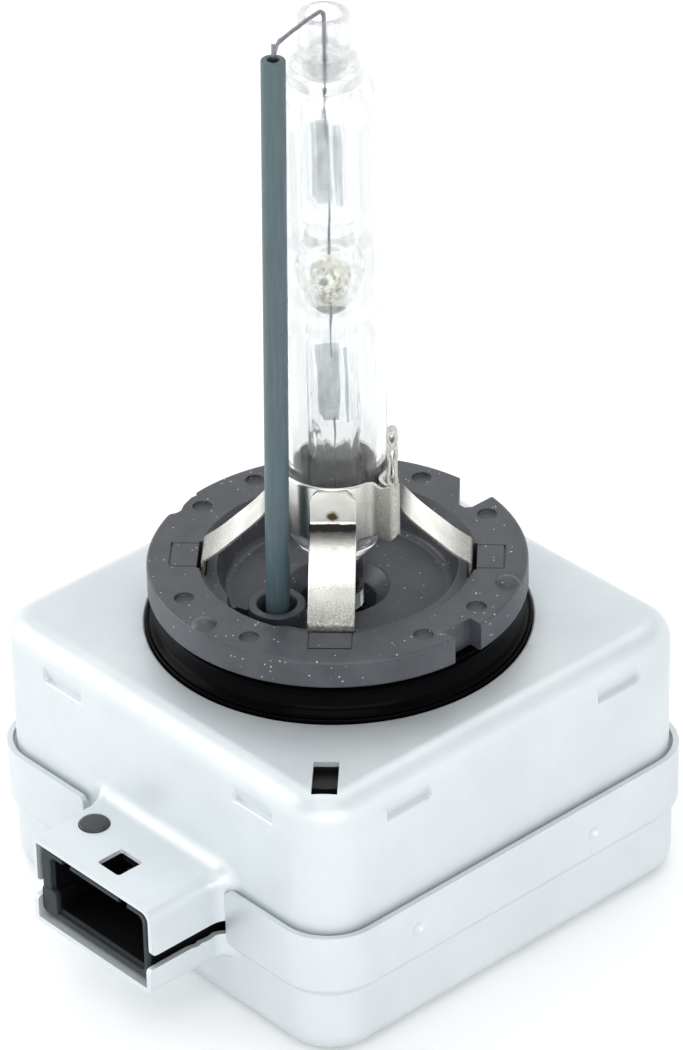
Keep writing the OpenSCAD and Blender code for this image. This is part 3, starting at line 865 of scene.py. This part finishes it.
def lower_body():
    """The lower shell with its flared rim, as one closed sheet with a floor."""
    outer = rounded([
        (RIM_HALF, RIM_TOP, 0.12), (RIM_HALF, RIM_STEP + 0.35, 0.5), (BODY_HALF, RIM_STEP - 0.35, 0.5),
        (BODY_HALF, FLOOR, DRAW), (FLAT + 0.3, FLOOR, 0),
    ], steps=8)
    inner = rounded([
        (FLAT + 0.3, FLOOR + SHEET, 0), (BODY_HALF - SHEET, FLOOR + SHEET, DRAW - SHEET),
        (BODY_HALF - SHEET, RIM_TOP - 0.75, 0.3), (RIM_HALF - SHEET, RIM_TOP - 0.45, 0.2),
        (RIM_HALF - SHEET, RIM_TOP, 0.12),
    ], steps=8)
    marks = [-8, 8]
    rings = [square_ring(half, z, marks) for half, z in inner + outer]
    return loft(rings, caps=(True, True))


def build_lower_shield():
    body = raw_object("lower_shield", lower_body())
    wall = -BODY_HALF
    left, right = RIM_GAP
    ledge = RIM_TOP + 0.02
    gap = across(rounded([
        (left - 2, RIM_TOP + 1, 0), (left - 2, ledge, 0), (left, ledge, 0.5), (left, RIM_GAP_FOOT, 0.3),
        (right, RIM_GAP_FOOT, 0.3), (right, ledge, 0.7), (right + 2, ledge, 0), (right + 2, RIM_TOP + 1, 0),
    ]), wall - 2, wall + 2)
    boolean(body, gap)
    boolean(body, across(doorway(0.4, TRAY_LEFT[1], TRAY_FOOT - 0.4, TRAY_TOP + 0.8), wall - 2, wall + 2))
    ball = lathe(arc((0, 0), DENT_R, -90, 90, 16), 32)
    dents = [shifted(ball, RIM_HALF + DENT_OUT, y, z) for y, z in DENTS]
    boolean(body, joined(*dents))
    tray = raw_object("tray", channel(
        TRAY_FOOT, TRAY_TOP, TRAY_EDGES, TRAY_FRONT, wall, TRAY_LEFT, TRAY_FLARE, TRAY_CORNER, SHEET,
        ragged_edge))
    merge(body, tray)
    finished(body, "shield_sheet", ["lower_shield"], crease=40)


# ---- plug socket

# The socket's outline, mouth, inner step and latch nub, each as left, right, low and high
FRAME = (-5.1, 8.25, -24.5, -17.85)
MOUTH = (-4.0, 7.7, -23.85, -18.4)
STEP = (-3.8, 7.6, -23.4, -18.4)
NUB = (-5.15, -3.3, -24.3, -21.7)
NUB_FACE = (-5.08, -3.38, -24.22, -21.78)
KEY_GAPS = (-2.42, 4.78)  # left sides of the gaps in the mouth's upper edge
KEY_GAP_W = 1.1
PIN_X = (-0.1, 4.0)
PIN_Z = -20.75
PIN_HOLE_R = 0.52


def frame_loop(box, corner, y, grow=0):
    """A rounded rectangle across Y."""
    left, right, low, high = box[0] - grow, box[1] + grow, box[2] - grow, box[3] + grow
    corners = [(left, low, corner), (right, low, corner), (right, high, corner), (left, high, corner)]
    return [(x, y, z) for x, z in rounded(corners, closed=True, steps=6)]


def build_socket():
    """Socket frame with its keyed mouth, a stepped inside, holes for the pins, and the latch nub."""
    front = SOCKET_LOW.y + 0.1
    back = SOCKET_HIGH.y
    high = FRAME[3]
    loops = [
        frame_loop(FRAME, 0.9, back),
        frame_loop(FRAME, 0.9, front + 0.15),
        frame_loop(FRAME, 0.8, front, -0.12),
        frame_loop(MOUTH, 0.55, front, 0.1),
        frame_loop(MOUTH, 0.5, front + 0.08),
        frame_loop(MOUTH, 0.5, front + 0.3),
        frame_loop(STEP, 0.35, front + 0.36),
        frame_loop(STEP, 0.35, back - 1.5),
    ]
    piece = raw_object("socket_frame", loft(loops, caps=(True, True)))
    cuts = [block((x, front - 1, high - 0.7), (x + KEY_GAP_W, front + 6, high + 1)) for x in KEY_GAPS]
    (left, right), (near, far) = PANE_X, PANE_Y
    cuts.append(block((left - 0.2, near - 0.2, high - 1.5), (right + 0.2, far + 0.2, high + 1)))
    cuts.append(prism(arc(PLUG_AT, PLUG_HOLE, 0, 345, 23), high - 0.6, high + 2))
    hole = lathe([(0, -20), (PIN_HOLE_R, -20), (PIN_HOLE_R, 20), (0, 20)], 24)
    for x in PIN_X:
        place = Matrix.Translation((x, 0, PIN_Z)) @ Matrix.Rotation(math.radians(90), 4, "X")
        cuts.append(moved(hole, place))
    boolean(piece, joined(*cuts))
    nub = raw_object("nub", loft([
        frame_loop(NUB, 0.45, front + 2.2),
        frame_loop(NUB, 0.45, front),
        frame_loop(NUB_FACE, 0.4, front - 0.08),
    ], caps=(True, True)))
    merge(piece, nub)
    finished(piece, "socket_plastic", ["socket_frame"], crease=35)


def build_plug():
    """Round plastic pin through the cover, with a slightly domed head."""
    top = COVER_TOP + 0.28
    radius = (PLUG_HIGH.x - PLUG_LOW.x) / 2
    foot = PLUG_LOW.z
    profile = rounded([
        (0, foot, 0), (radius, foot, 0.1), (radius, top - 0.1, 0.2),
        (radius - 0.35, top - 0.02, 0.3), (0, top, 0),
    ])
    simple_piece("locating_plug", shifted(lathe(profile, 64), *PLUG_AT, 0), "plug_plastic", crease=50)


# ---- cap

DOME_ANGLES = (-90, 30, 150)
DOME_AT = 14.75  # distance of a dome from the axis
DOME_R = 1.05
DOME_RISE = 0.45
DOME_BALL = (DOME_R ** 2 + DOME_RISE ** 2) / (2 * DOME_RISE)
DIMPLE_ANGLES = (12.3, -12.3, 73.2, 106.8, 167.7, 192.3, 253.2, 286.8)
DIMPLE_AT = 14
PAD_END = 13.9  # outer end of the outline scored before each leg's slot
SCORE = 0.1
SKIRT_R = 14.6  # the ring's narrower part inside the collar
CAP_FOOT = -6.3
TUBE_R = 1
TUBE_FOOT = Vector((TUBE_LOW.x + TUBE_R, TUBE_LOW.y + TUBE_R, TUBE_LOW.z))
TUBE_BORE = 0.5
TUBE_SOCKET_R = 2.4  # the ring's socket that the ceramic tube stands in
TUBE_SOCKET_BORE = 1.6
POCKET_R = 4.1
KEYS = (
    [(14.55, -1.5), (18, -1.5), (18, 1.4), (14.55, 1.4)],
    [(-1.9, 18), (-1.9, 15.9), (1.26, 12.73), (1.98, 12.72), (2.37, 13.2), (2.37, 18)],
    [(-18, -1.8), (-15.7, -1.8), (-15.3, -2.2), (-15.35, -2.75), (-14.9, -4), (-14.4, -4.75),
     (-14.4, -5.3), (-15.2, -7), (-18, -7)],
)


def dome_meshes():
    ball = arc((0, DOME_RISE - DOME_BALL), DOME_BALL, 38, 90, 10)
    dome = shifted(lathe([(0, -1), (DOME_R, -1)] + ball, 40), DOME_AT, 0, 0)
    return [turned(dome, turn) for turn in DOME_ANGLES]


def dimple_cuts():
    profile = rounded([(0, -0.32, 0), (0.8, -0.32, 0.1), (0.93, 0.5, 0), (0, 0.5, 0)])
    dimple = shifted(lathe(profile, 32), DIMPLE_AT, 0, 0)
    return [turned(dimple, turn) for turn in DIMPLE_ANGLES]


def slot_cuts():
    """Each leg's slot, and the shallow outline scored in front of it."""
    half = LEG_W / 2 + 0.12
    side = LEG_W / 2 - 0.1
    start = FOOT_R + 0.3
    blocks = [
        block((FOOT_R - 0.45, -half, -2.9), (FOOT_R + 0.35, half, 1)),
        block((start, -side, -0.14), (PAD_END, -side + SCORE, 1)),
        block((start, side - SCORE, -0.14), (PAD_END, side, 1)),
        block((PAD_END - 0.05, -side, -0.2), (PAD_END + 0.12, side, 1)),
    ]
    return [turned(cut, turn) for turn in LEG_ANGLES.values() for cut in blocks]


def build_ring():
    """Moulded ring with its bowl, slots, dimples, domes, notches and the ceramic tube's socket."""
    profile = rounded([
        (3.2, CAP_FOOT, 0), (3.2, -4.3, 0.3), (4.3, -3.0, 0.25), (9.5, -3.0, 0.7), (10.1, -0.8, 0.15),
        (11.15, -0.8, 0.1), (11.6, 0, 0.12), (RING_R, 0, 0.3), (RING_R, -RING_T, 0.25),
        (SKIRT_R, -RING_T, 0), (SKIRT_R, CAP_FOOT, 0),
    ], closed=True)
    piece = raw_object("cap_ring", lathe(profile, 240, closed=True))
    x, y, _ = TUBE_FOOT
    pocket = arc((x, y), POCKET_R, 195, 330, 30) + [(x + 1, y - 1), (x - 1, y)]
    cuts = dimple_cuts() + slot_cuts() + [prism(key, -4, 1) for key in KEYS] + [prism(pocket, -4.8, 1)]
    boolean(piece, joined(*cuts))
    boolean(piece, joined(*dome_meshes()), "UNION")
    socket = rounded([
        (0, -5.5, 0), (TUBE_SOCKET_R, -5.5, 0), (TUBE_SOCKET_R, -1.2, 0.15),
        (TUBE_SOCKET_BORE + 0.1, -1.2, 0.15), (TUBE_SOCKET_BORE, -1.6, 0.1),
        (TUBE_SOCKET_BORE, -1.8, 0), (0, -1.8, 0),
    ])
    boolean(piece, shifted(lathe(socket, 64), x, y, 0), "UNION")
    bore = lathe([(0, -4.6), (TUBE_SOCKET_BORE, -4.6), (TUBE_SOCKET_BORE, 2), (0, 2)], 48)
    boolean(piece, shifted(bore, x, y, 0))
    finished(piece, "cap_plastic", ["cap_ring"], crease=38)


def build_collar():
    """Glossy collar: neck, concave dish and lip in the case's opening."""
    top = -RING_T - 0.01
    lip = OPENING_R - 0.08
    profile = rounded([
        (SKIRT_R, top, 0), (15.45, top, 0.1), (14.95, -3.7, 1.4), (15.35, -5.0, 1.2),
        (lip - 0.42, -5.35, 0.3), (lip - 0.3, -5.52, 0.08), (lip, -5.5, 0.12),
        (lip, CAP_FOOT, 0), (SKIRT_R, CAP_FOOT, 0),
    ], closed=True, steps=8)
    simple_piece("seal_collar", lathe(profile, 240, closed=True), "seal_rubber", crease=40)


# ---- holder

def hoop(path, low, high, thickness):
    """A closed sheet strip along a path in plan, with a lower and an upper edge for each point."""
    loops = []
    for i, point in enumerate(path):
        run = (path[(i + 1) % len(path)] - path[i - 1]).normalized()
        side = Vector((-run.y, run.x)) * thickness / 2
        bevel = min(0.07, thickness / 3)
        section = []
        for edge, lift in ((low[i], 1), (high[i], -1)):
            eased = edge + lift * bevel
            row = [(-1, eased), (-0.55, edge), (0.55, edge), (1, eased)]
            section += [(point + share * side, z) for share, z in row[::lift]]
        loops.append([(p.x, p.y, z) for p, z in section])
    return loft(loops, along=True)


LUG_TURN = 3
LUG_R = 7.05
TAB_R = 6.65
LUG_CORNER = 0.8
LUG_GAP = 0.2


def build_band():
    """Band round the jacket, folded out into a lug where its ends meet, with the folded tab above."""
    radius = BAND_R + LEG_T / 2
    bend = 0.75
    nose = LUG_GAP + LEG_T / 2
    reach = math.sqrt((radius + bend) ** 2 - (nose + bend) ** 2)
    swing = math.degrees(math.atan2(nose + bend, reach))
    half = arc((LUG_R - nose, 0), nose, 0, 90, 6)
    half += [(reach + (LUG_R - nose - reach) * t, nose) for t in (0.75, 0.5, 0.25)]
    half += arc((reach, nose + bend), bend, 270, 180 + swing, 8)
    half += arc((0, 0), radius, swing, 180, 72)[1:]
    path = [Vector(p) for p in half] + [Vector((x, -y)) for x, y in half[-2:0:-1]]
    low, high = [], []
    for point in path:
        out = max(0, min(1, (point.length - radius - 0.3) / (LUG_R - radius - 0.3)))
        wave = math.sin(math.pi * min(1, out * 1.5)) * -0.22
        high.append(BAND_TOP + wave + 0.6 * out ** 3)
        inset = min(LUG_CORNER, max(0, point.length - (LUG_R - LUG_CORNER)))
        low.append(BAND_FOOT + 0.1 * out + LUG_CORNER - math.sqrt(LUG_CORNER ** 2 - inset ** 2))
    band = turned(hoop(path, low, high, LEG_T), LUG_TURN)
    simple_piece("clamp_band", joined(band, tab_mesh()), "nickel_sheet", crease=40)


def ribbon(path, width, thickness):
    """A sheet ribbon along a path in X and Z, with its width along Y."""
    loops = []
    for i, (x, z) in enumerate(path):
        run = run_at(path, i)
        side = Vector((-run.y, run.x)) * thickness / 2
        bevel = thickness * 0.22
        half = width / 2
        section = []
        for face in (1, -1):
            for y in (-half, -half + bevel, half - bevel, half):
                share = 0.55 if abs(y) == half else 1
                section.append((x + face * share * side.x, y * face, z + face * share * side.y))
        loops.append(section)
    return loft(loops, caps=(True, True))


def tab_mesh():
    """The band's end above the lug: a folded strip seen on edge, curled twice at its top."""
    front = [
        (-0.32, 1.5), (-0.34, 1.0), (-0.18, 0.66), (0.06, 0.62), (0.26, 0.95), (0.27, 2.2), (0.22, 2.9),
        (0.34, 3.4), (0.3, 3.95), (-0.02, 4.25), (0.24, 4.7), (0.36, 5.2), (0.12, 5.65), (-0.22, 5.5),
    ]
    second = [
        (0.0, 0.3), (-0.3, 1.2), (-0.24, 2.2), (-0.18, 2.8), (-0.3, 3.3),
        (-0.2, 3.9), (0.02, 4.2), (-0.26, 4.8), (-0.3, 5.3), (-0.05, 5.7),
    ]
    third = [(0.05, -0.2), (0.08, 0.3), (0.2, 0.9)]
    front, second, third = ([(x, BAND_TOP + z) for x, z in fold] for fold in (front, second, third))
    folded = joined(
        ribbon(smooth_line(front, 6), 1.1, 0.3),
        ribbon(smooth_line(second, 6), 1.0, 0.28),
        ribbon(third, 1.1, 0.3),
    )
    return turned(shifted(turned(folded, VIEW_AZIMUTH - LUG_TURN), TAB_R, 0, 0), LUG_TURN)


def leg_section(half, thickness):
    """Section of a spring leg across its run: (across, outward) points with eased edges."""
    ease = 0.07
    low = [(-half, ease), (-half + ease, 0), (half - ease, 0), (half, ease)]
    return low + [(y, thickness - t) for y, t in reversed(low)]


def leg_mesh():
    """A spring leg along +X: pad with cut corners, sloping strip, and foot bent into its slot."""
    line = rounded([
        (PAD_R, BAND_TOP - 0.1, 0), (PAD_R, 6.3, 0.8), (PAD_R + 1.72, 4.18, 20), (FOOT_R - 1.6, 1.28, 18),
        (FOOT_R - 0.36, 0.42, 0.25), (FOOT_R - 0.3, -2.55, 0),
    ], steps=10)
    line[1:1] = [(PAD_R, BAND_TOP - drop) for drop in (0.25, 0.55, 0.85)]
    loops = []
    for i, (x, z) in enumerate(line):
        run = run_at(line, i)
        out = Vector((-run.y, run.x))
        cut = max(0, 0.75 - (BAND_TOP - 0.1 - z)) if i < 5 else 0
        loops.append([(x + out.x * t, y, z + out.y * t) for y, t in leg_section(LEG_W / 2 - cut, LEG_T)])
    return loft(loops, caps=(True, True))


def weld_mesh():
    """Spot weld on a leg's pad: a low round swelling."""
    profile = [(0, 0.012, 0), (0.3, 0.012, 0.2), (0.46, 0.0, 0.05), (0.46, -0.06, 0), (0, -0.06, 0)]
    spot = lathe(rounded(profile), 24)
    place = Matrix.Translation((PAD_R + LEG_T, 0, WELD_Z)) @ Matrix.Rotation(math.radians(90), 4, "Y")
    return moved(spot, place)


def build_legs():
    for name, turn in LEG_ANGLES.items():
        leg = turned(joined(leg_mesh(), weld_mesh()), turn)
        simple_piece(name, leg, "nickel_sheet", look="leg_sheet", crease=40)


# ---- burner

FOLD_Z = 11.6  # where the lower seal ends


def stem_wobble(radius, turn, height):
    """Flats and ripples of a hand-worked stem, with folds where the lower seal ends."""
    if radius > STEM_R + 0.2:
        return 1
    fold = max(0, 1 - abs(height - FOLD_Z) / 2.6)
    ripple = noise.noise(Vector((math.cos(turn) * 2.4, math.sin(turn) * 2.4, height * 0.28)))
    crease = noise.noise(Vector((math.cos(turn) * 3.6, math.sin(turn) * 3.6, height * 0.5 + 7)))
    return 1 + 0.03 * ripple + 0.11 * fold * crease


def stem_rows(low, high, step=0.5):
    """Points down a straight stretch of the stem, so that its ripples have somewhere to show."""
    count = round((high - low) / step)
    return [(STEM_R, high - (high - low) * i / count, 0) for i in range(1, count)]


def build_quartz():
    """Jacket, neck, stems and chamber as the one fused body of quartz that they are."""
    outer = [(0, ARC_LOW.z)] + rounded([
        (STEM_R, ARC_LOW.z, 0.1), (STEM_R, 0.4, 0.5), (3.3, 1.75, 0.9), (4.05, 3.0, 0.9),
        (JACKET_R, 4.6, 1.2), (JACKET_R, 42.3, 1.5), (3.75, 44.4, 0.9), (3.0, 45.5, 0.6),
        (2.85, 46.4, 0.5), (STEM_R + 0.02, 47.2, 0.8), (STEM_R - 0.02, NECK_TOP, 0.3), (1.4, NECK_TOP, 0.3),
        (1.35, BORE_FLOOR + 0.5, 0.6), (0, BORE_FLOOR, 0),
    ], steps=6)
    cavity = rounded([
        (STEM_R, 2.3, 0.2), (2.7, 2.5, 0.4), (3.3, 4.0, 0.9), (3.45, 5.4, 1.0), (3.45, 41.6, 1.4),
        (2.9, 43.6, 0.9), (2.3, 44.5, 0.3), (STEM_R - 0.1, 43.9, 0.5), (STEM_R - 0.05, 42.4, 0.3),
        *stem_rows(32.4, 42.4),
        (STEM_R, 32.4, 0.4), (1.94, 31.5, 0.6), (2.2, 30.3, 0.6), (2.85, 28.4, 1.0), (2.9, 26.4, 1.0),
        (2.4, 24.5, 0.7), (1.94, 23.2, 0.6), (STEM_R, 22.2, 0.5), *stem_rows(2.3, 22.2),
    ], closed=True, steps=6)
    chamber = smooth_line([
        (0, -2.9), (0.62, -2.55), (1.32, -1.6), (1.7, -0.4), (1.72, 0.6), (1.42, 1.7), (0.8, 2.6), (0, 2.9),
    ], 5)
    chamber = [(max(0, p.x), p.y + ARC_Z) for p in chamber]
    piece = raw_object("quartz_burner", lathe(outer, 144))
    hollows = [lathe(cavity, 144, closed=True, wobble=stem_wobble), lathe(chamber, 96)] + capillaries()
    voids = [raw_object("void", hollow) for hollow in hollows]
    for void in voids:
        void.data.flip_normals()
    merge(piece, *voids)
    finished(piece, "clear_quartz", ["outer_bulb", "arc_tube"], crease=60)


def capillaries():
    """Hair-thin hollows that run up the seals beside the foils, left where the quartz was pinched."""
    chance = random.Random(4)
    made = []
    for low, high in ((33.4, 41.6), (13.6, 21.6)):
        for aside in (-1.5, -1.38, -1.1, 0.98, 1.3, 1.46):
            turn = math.radians(VIEW_AZIMUTH + chance.uniform(-8, 8))
            start, end = low + chance.uniform(0, 1.2), high - chance.uniform(0, 1.6)
            path = []
            for i in range(13):
                shift = aside + 0.06 * chance.uniform(-1, 1)
                height = start + (end - start) * i / 12
                path.append((shift * math.cos(turn), shift * math.sin(turn), height))
            radii = [0.07 * max(0.15, math.sin(math.pi * (i + 0.5) / 13)) ** 0.4 for i in range(13)]
            made.append(tube(path, radii, 8))
    return made


def build_salt():
    """Film of metal salts on the chamber's wall, from its bottom to above its middle."""
    profile = [
        (1.4, 1.6), (1.6, 1.0), (1.68, 0.4), (1.66, -0.3),
        (1.5, -1.0), (1.24, -1.6), (0.92, -2.05), (0.58, -2.45),
    ]
    outer = [(r - 0.015, z + ARC_Z) for r, z in profile]
    inner = [(r - 0.055, z + ARC_Z) for r, z in reversed(profile)]
    simple_piece("salt_deposit", lathe(outer + inner, 72, closed=True), "metal_salt")


def build_electrodes():
    for direction, name in ((1, "upper_electrode"), (-1, "lower_electrode")):
        path = [(0, 0, ARC_Z + direction * d) for d in (2.2, 2.35, 2.6, 4.0, 7.2)]
        simple_piece(name, tube(path, [0.07, 0.13, 0.1, 0.04, 0.035], 20), "tungsten")


def build_foils():
    """Thin foils, each split lengthwise, with stepped ends, inside the seals."""
    for name, slit, rise in (("upper_foil", (0.14, 0.36), 0), ("lower_foil", (0.36, 0.6), 0.8)):
        low, high = span(name)
        strips = []
        for left, right, foot, head, notch in (
            (low.x, slit[0], low.z + 0.3 + rise, high.z + rise, 0.3),
            (slit[1], high.x, low.z + rise, high.z - 0.5 + rise, 0.0),
        ):
            loops = []
            for i in range(25):
                t = i / 24
                bow = 0.03 * math.sin(math.pi * 3 * t)
                z = foot + (head - foot) * t
                edge = left + (notch if t < 0.06 or t > 0.97 else 0)
                middle = (edge + right) / 2
                row = [(edge, bow, z), (middle, bow - 0.025, z), (right, bow, z)]
                loops.append(row + [(x, y + 0.03, z) for x, y, _ in row[::-1]])
            strips.append(loft(loops, caps=(True, True)))
        simple_piece(name, turned(joined(*strips), VIEW_AZIMUTH), "molybdenum")


def build_wires():
    """Lead over the neck's rim, its weld, and the return wire that goes down the ceramic tube."""
    crown = NECK_TOP + 0.15
    aside = TUBE_FOOT.x
    weld = Vector((aside - 0.11, -4.9, NECK_TOP - 0.66))
    path = smooth_line([
        (-0.02, -0.02, span("upper_foil")[1].z - 1.9), (-0.06, -0.06, 41.3), (-0.1, -0.1, 42.4),
        (-0.03, -0.03, 43.6), (0.0, 0.0, 45.0), (0.02, 0.03, 47.5), (0.02, 0.02, NECK_TOP - 0.4),
        (0, -0.08, crown - 0.25), (0, -0.32, crown - 0.02),
        (0.03, -0.7, crown - 0.03), (0.1, -1.7, crown - 0.16), (0.24, -3.4, crown - 0.47), weld,
    ], 8)
    thick = [0.08 + 0.055 * math.cos(4.2 * (p.z - 43.6)) if p.z < BORE_FLOOR else 0.17 for p in path]
    simple_piece("upper_lead", tube(path, thick, 20), "lead_metal")
    mouth = TUBE_HIGH.z
    middle = (TUBE_FOOT.y + TUBE_HIGH.y - TUBE_R) / 2
    back = smooth_line([
        TUBE_FOOT + Vector((0, 0, 1)), (aside, middle, 22), (aside, TUBE_HIGH.y - 1.02, mouth - 0.8),
        (aside - 0.03, TUBE_HIGH.y - 0.95, mouth + 0.2), (aside - 0.06, -5.5, mouth + 0.6),
        (aside - 0.09, -5.2, weld.z - 0.22), weld + Vector((0, 0.1, 0.02)),
    ], 8)
    wire = tube(back, 0.16, 20)
    swelling = ((-0.16, -0.16), (-0.08, -0.07), (0, 0), (0.25, 0.06), (0.42, 0.1))
    bead = tube([weld + Vector((0, y, z)) for y, z in swelling], [0.15, 0.19, 0.21, 0.19, 0.16], 20)
    simple_piece("return_wire", joined(wire, bead), "lead_metal")
    low, high = span("lower_lead")
    line = [(0, 0, low.z), (0, 0, 8), (0.05, 0, 11), (0, 0, high.z)]
    simple_piece("lower_lead", tube(line, 0.1), "lead_metal")


def build_ceramic_tube():
    """Hollow ceramic tube that leans in from its socket to the burner's top."""
    foot = TUBE_FOOT + Vector((0, 0, 0.05))
    top = Vector((foot.x - 0.02, TUBE_HIGH.y - TUBE_R, TUBE_HIGH.z + 0.12))
    lean = top - foot
    length = lean.length
    profile = rounded([
        (TUBE_BORE, 0, 0), (TUBE_R, 0, 0.05), (TUBE_R, length, 0.16), (TUBE_BORE, length, 0.12),
    ], closed=True)
    body = lathe(profile, 64, closed=True)
    place = Matrix.Translation(foot) @ Vector((0, 0, 1)).rotation_difference(lean).to_matrix().to_4x4()
    simple_piece("ceramic_tube", moved(body, place), "ceramic", crease=50)


# ---- the nodes that stay as they are

def dress_nodes():
    """Gives each CAD node that still shows its slot's look."""
    slots = {part["node"]: part["material_slot"] for part in frame["record"]["subparts"]}
    for name, piece in frame["nodes"].items():
        if piece.hide_render:
            continue
        piece.data.materials.clear()
        piece.data.materials.append(LOOKS[slots[name]])


# ---- stage, light and camera

def toward(azimuth, elevation):
    """The direction at an azimuth from -Y toward +X and an elevation, in degrees."""
    a, e = math.radians(azimuth), math.radians(elevation)
    return Vector((math.sin(a) * math.cos(e), -math.cos(a) * math.cos(e), math.sin(e)))


def build_camera():
    roll = math.radians(VIEW_ROLL)
    back = toward(VIEW_AZIMUTH, VIEW_ELEVATION)
    right = toward(VIEW_AZIMUTH + 90, 0)
    up = back.cross(right)
    across_view = math.cos(roll) * right - math.sin(roll) * up
    up_view = math.sin(roll) * right + math.cos(roll) * up
    data = bpy.data.cameras.new("camera")
    data.sensor_width = 36
    data.lens = LENS
    data.clip_start, data.clip_end = 0.01, 10
    camera = bpy.data.objects.new("camera", data)
    place = VIEW_ASIDE[0] * across_view + VIEW_ASIDE[1] * up_view + VIEW_DISTANCE * back
    axes = Matrix((across_view, up_view, back)).transposed()
    camera.matrix_world = Matrix.Translation(place * MM) @ axes.to_4x4()
    bpy.context.scene.collection.objects.link(camera)
    bpy.context.scene.camera = camera


def softbox(name, azimuth, elevation, distance, size, power):
    """A rectangular area light that looks at the origin."""
    direction = toward(azimuth, elevation)
    data = bpy.data.lights.new(name, "AREA")
    data.shape = "RECTANGLE"
    data.size, data.size_y = size
    data.energy = power
    lamp = bpy.data.objects.new(name, data)
    lamp.location = direction * distance
    lamp.rotation_mode = "QUATERNION"
    lamp.rotation_quaternion = direction.to_track_quat("Z", "Y")
    bpy.context.scene.collection.objects.link(lamp)


HORIZON_LIGHT = 1.62
SKY_LIGHT = 0.77
# Dimmed parts of the tent: direction, cosines where dimming starts and is full, and what is left
DIM_PARTS = (
    ((0.63, -0.56, 0.537), 0.8, 0.96, 0.7),
    ((0.302, -0.36, 0.883), 0.78, 0.88, 0.58),
)
# Lamps: name, azimuth, elevation, distance and size in metres, and power in watts
LAMPS = (
    ("top", 40, 62, 0.95, (0.6, 0.4), 1.25),
    ("back", 220, 70, 1.0, (0.9, 0.9), 2.8),
    ("left", -60, 25, 0.9, (0.5, 0.6), 2.6),
    ("front", 52, 20, 1.1, (1.2, 0.5), 5.0),
)


def build_world():
    """White studio tent, brightest at the horizon and dimmed in two parts of its front."""
    world = bpy.data.worlds.new("studio")
    nodes = Nodes(world)
    direction = nodes.add("ShaderNodeTexCoord").outputs["Generated"]
    height = nodes.add("ShaderNodeSeparateXYZ", {0: direction}).outputs["Z"]
    strength = nodes.range(height, 0.0, 0.5, HORIZON_LIGHT, SKY_LIGHT)
    for middle, start, end, dimmed in DIM_PARTS:
        cosine = nodes.add("ShaderNodeVectorMath", {0: direction, 1: middle}, operation="DOT_PRODUCT")
        part = nodes.range(cosine.outputs["Value"], start, end, 1.0, dimmed)
        strength = nodes.times(strength, part)
    lamp = nodes.tree.nodes["Background"]
    nodes.feed(lamp.inputs["Strength"], strength)
    nodes.feed(lamp.inputs["Color"], (0.97, 0.99, 1.0, 1))
    bpy.context.scene.world = world


def build_stage():
    floor = raw_object("floor", block((-3000, -3000, FLOOR - 2), (3000, 3000, FLOOR)))
    floor.data.materials.append(floor_look())
    build_world()
    for lamp in LAMPS:
        softbox(*lamp)
    bpy.context.scene.view_settings.view_transform = "Standard"


build_upper_shield()
build_lower_shield()
build_socket()
build_plug()
build_ring()
build_collar()
build_band()
build_legs()
build_quartz()
build_salt()
build_electrodes()
build_foils()
build_wires()
build_ceramic_tube()
dress_nodes()
build_stage()
build_camera()
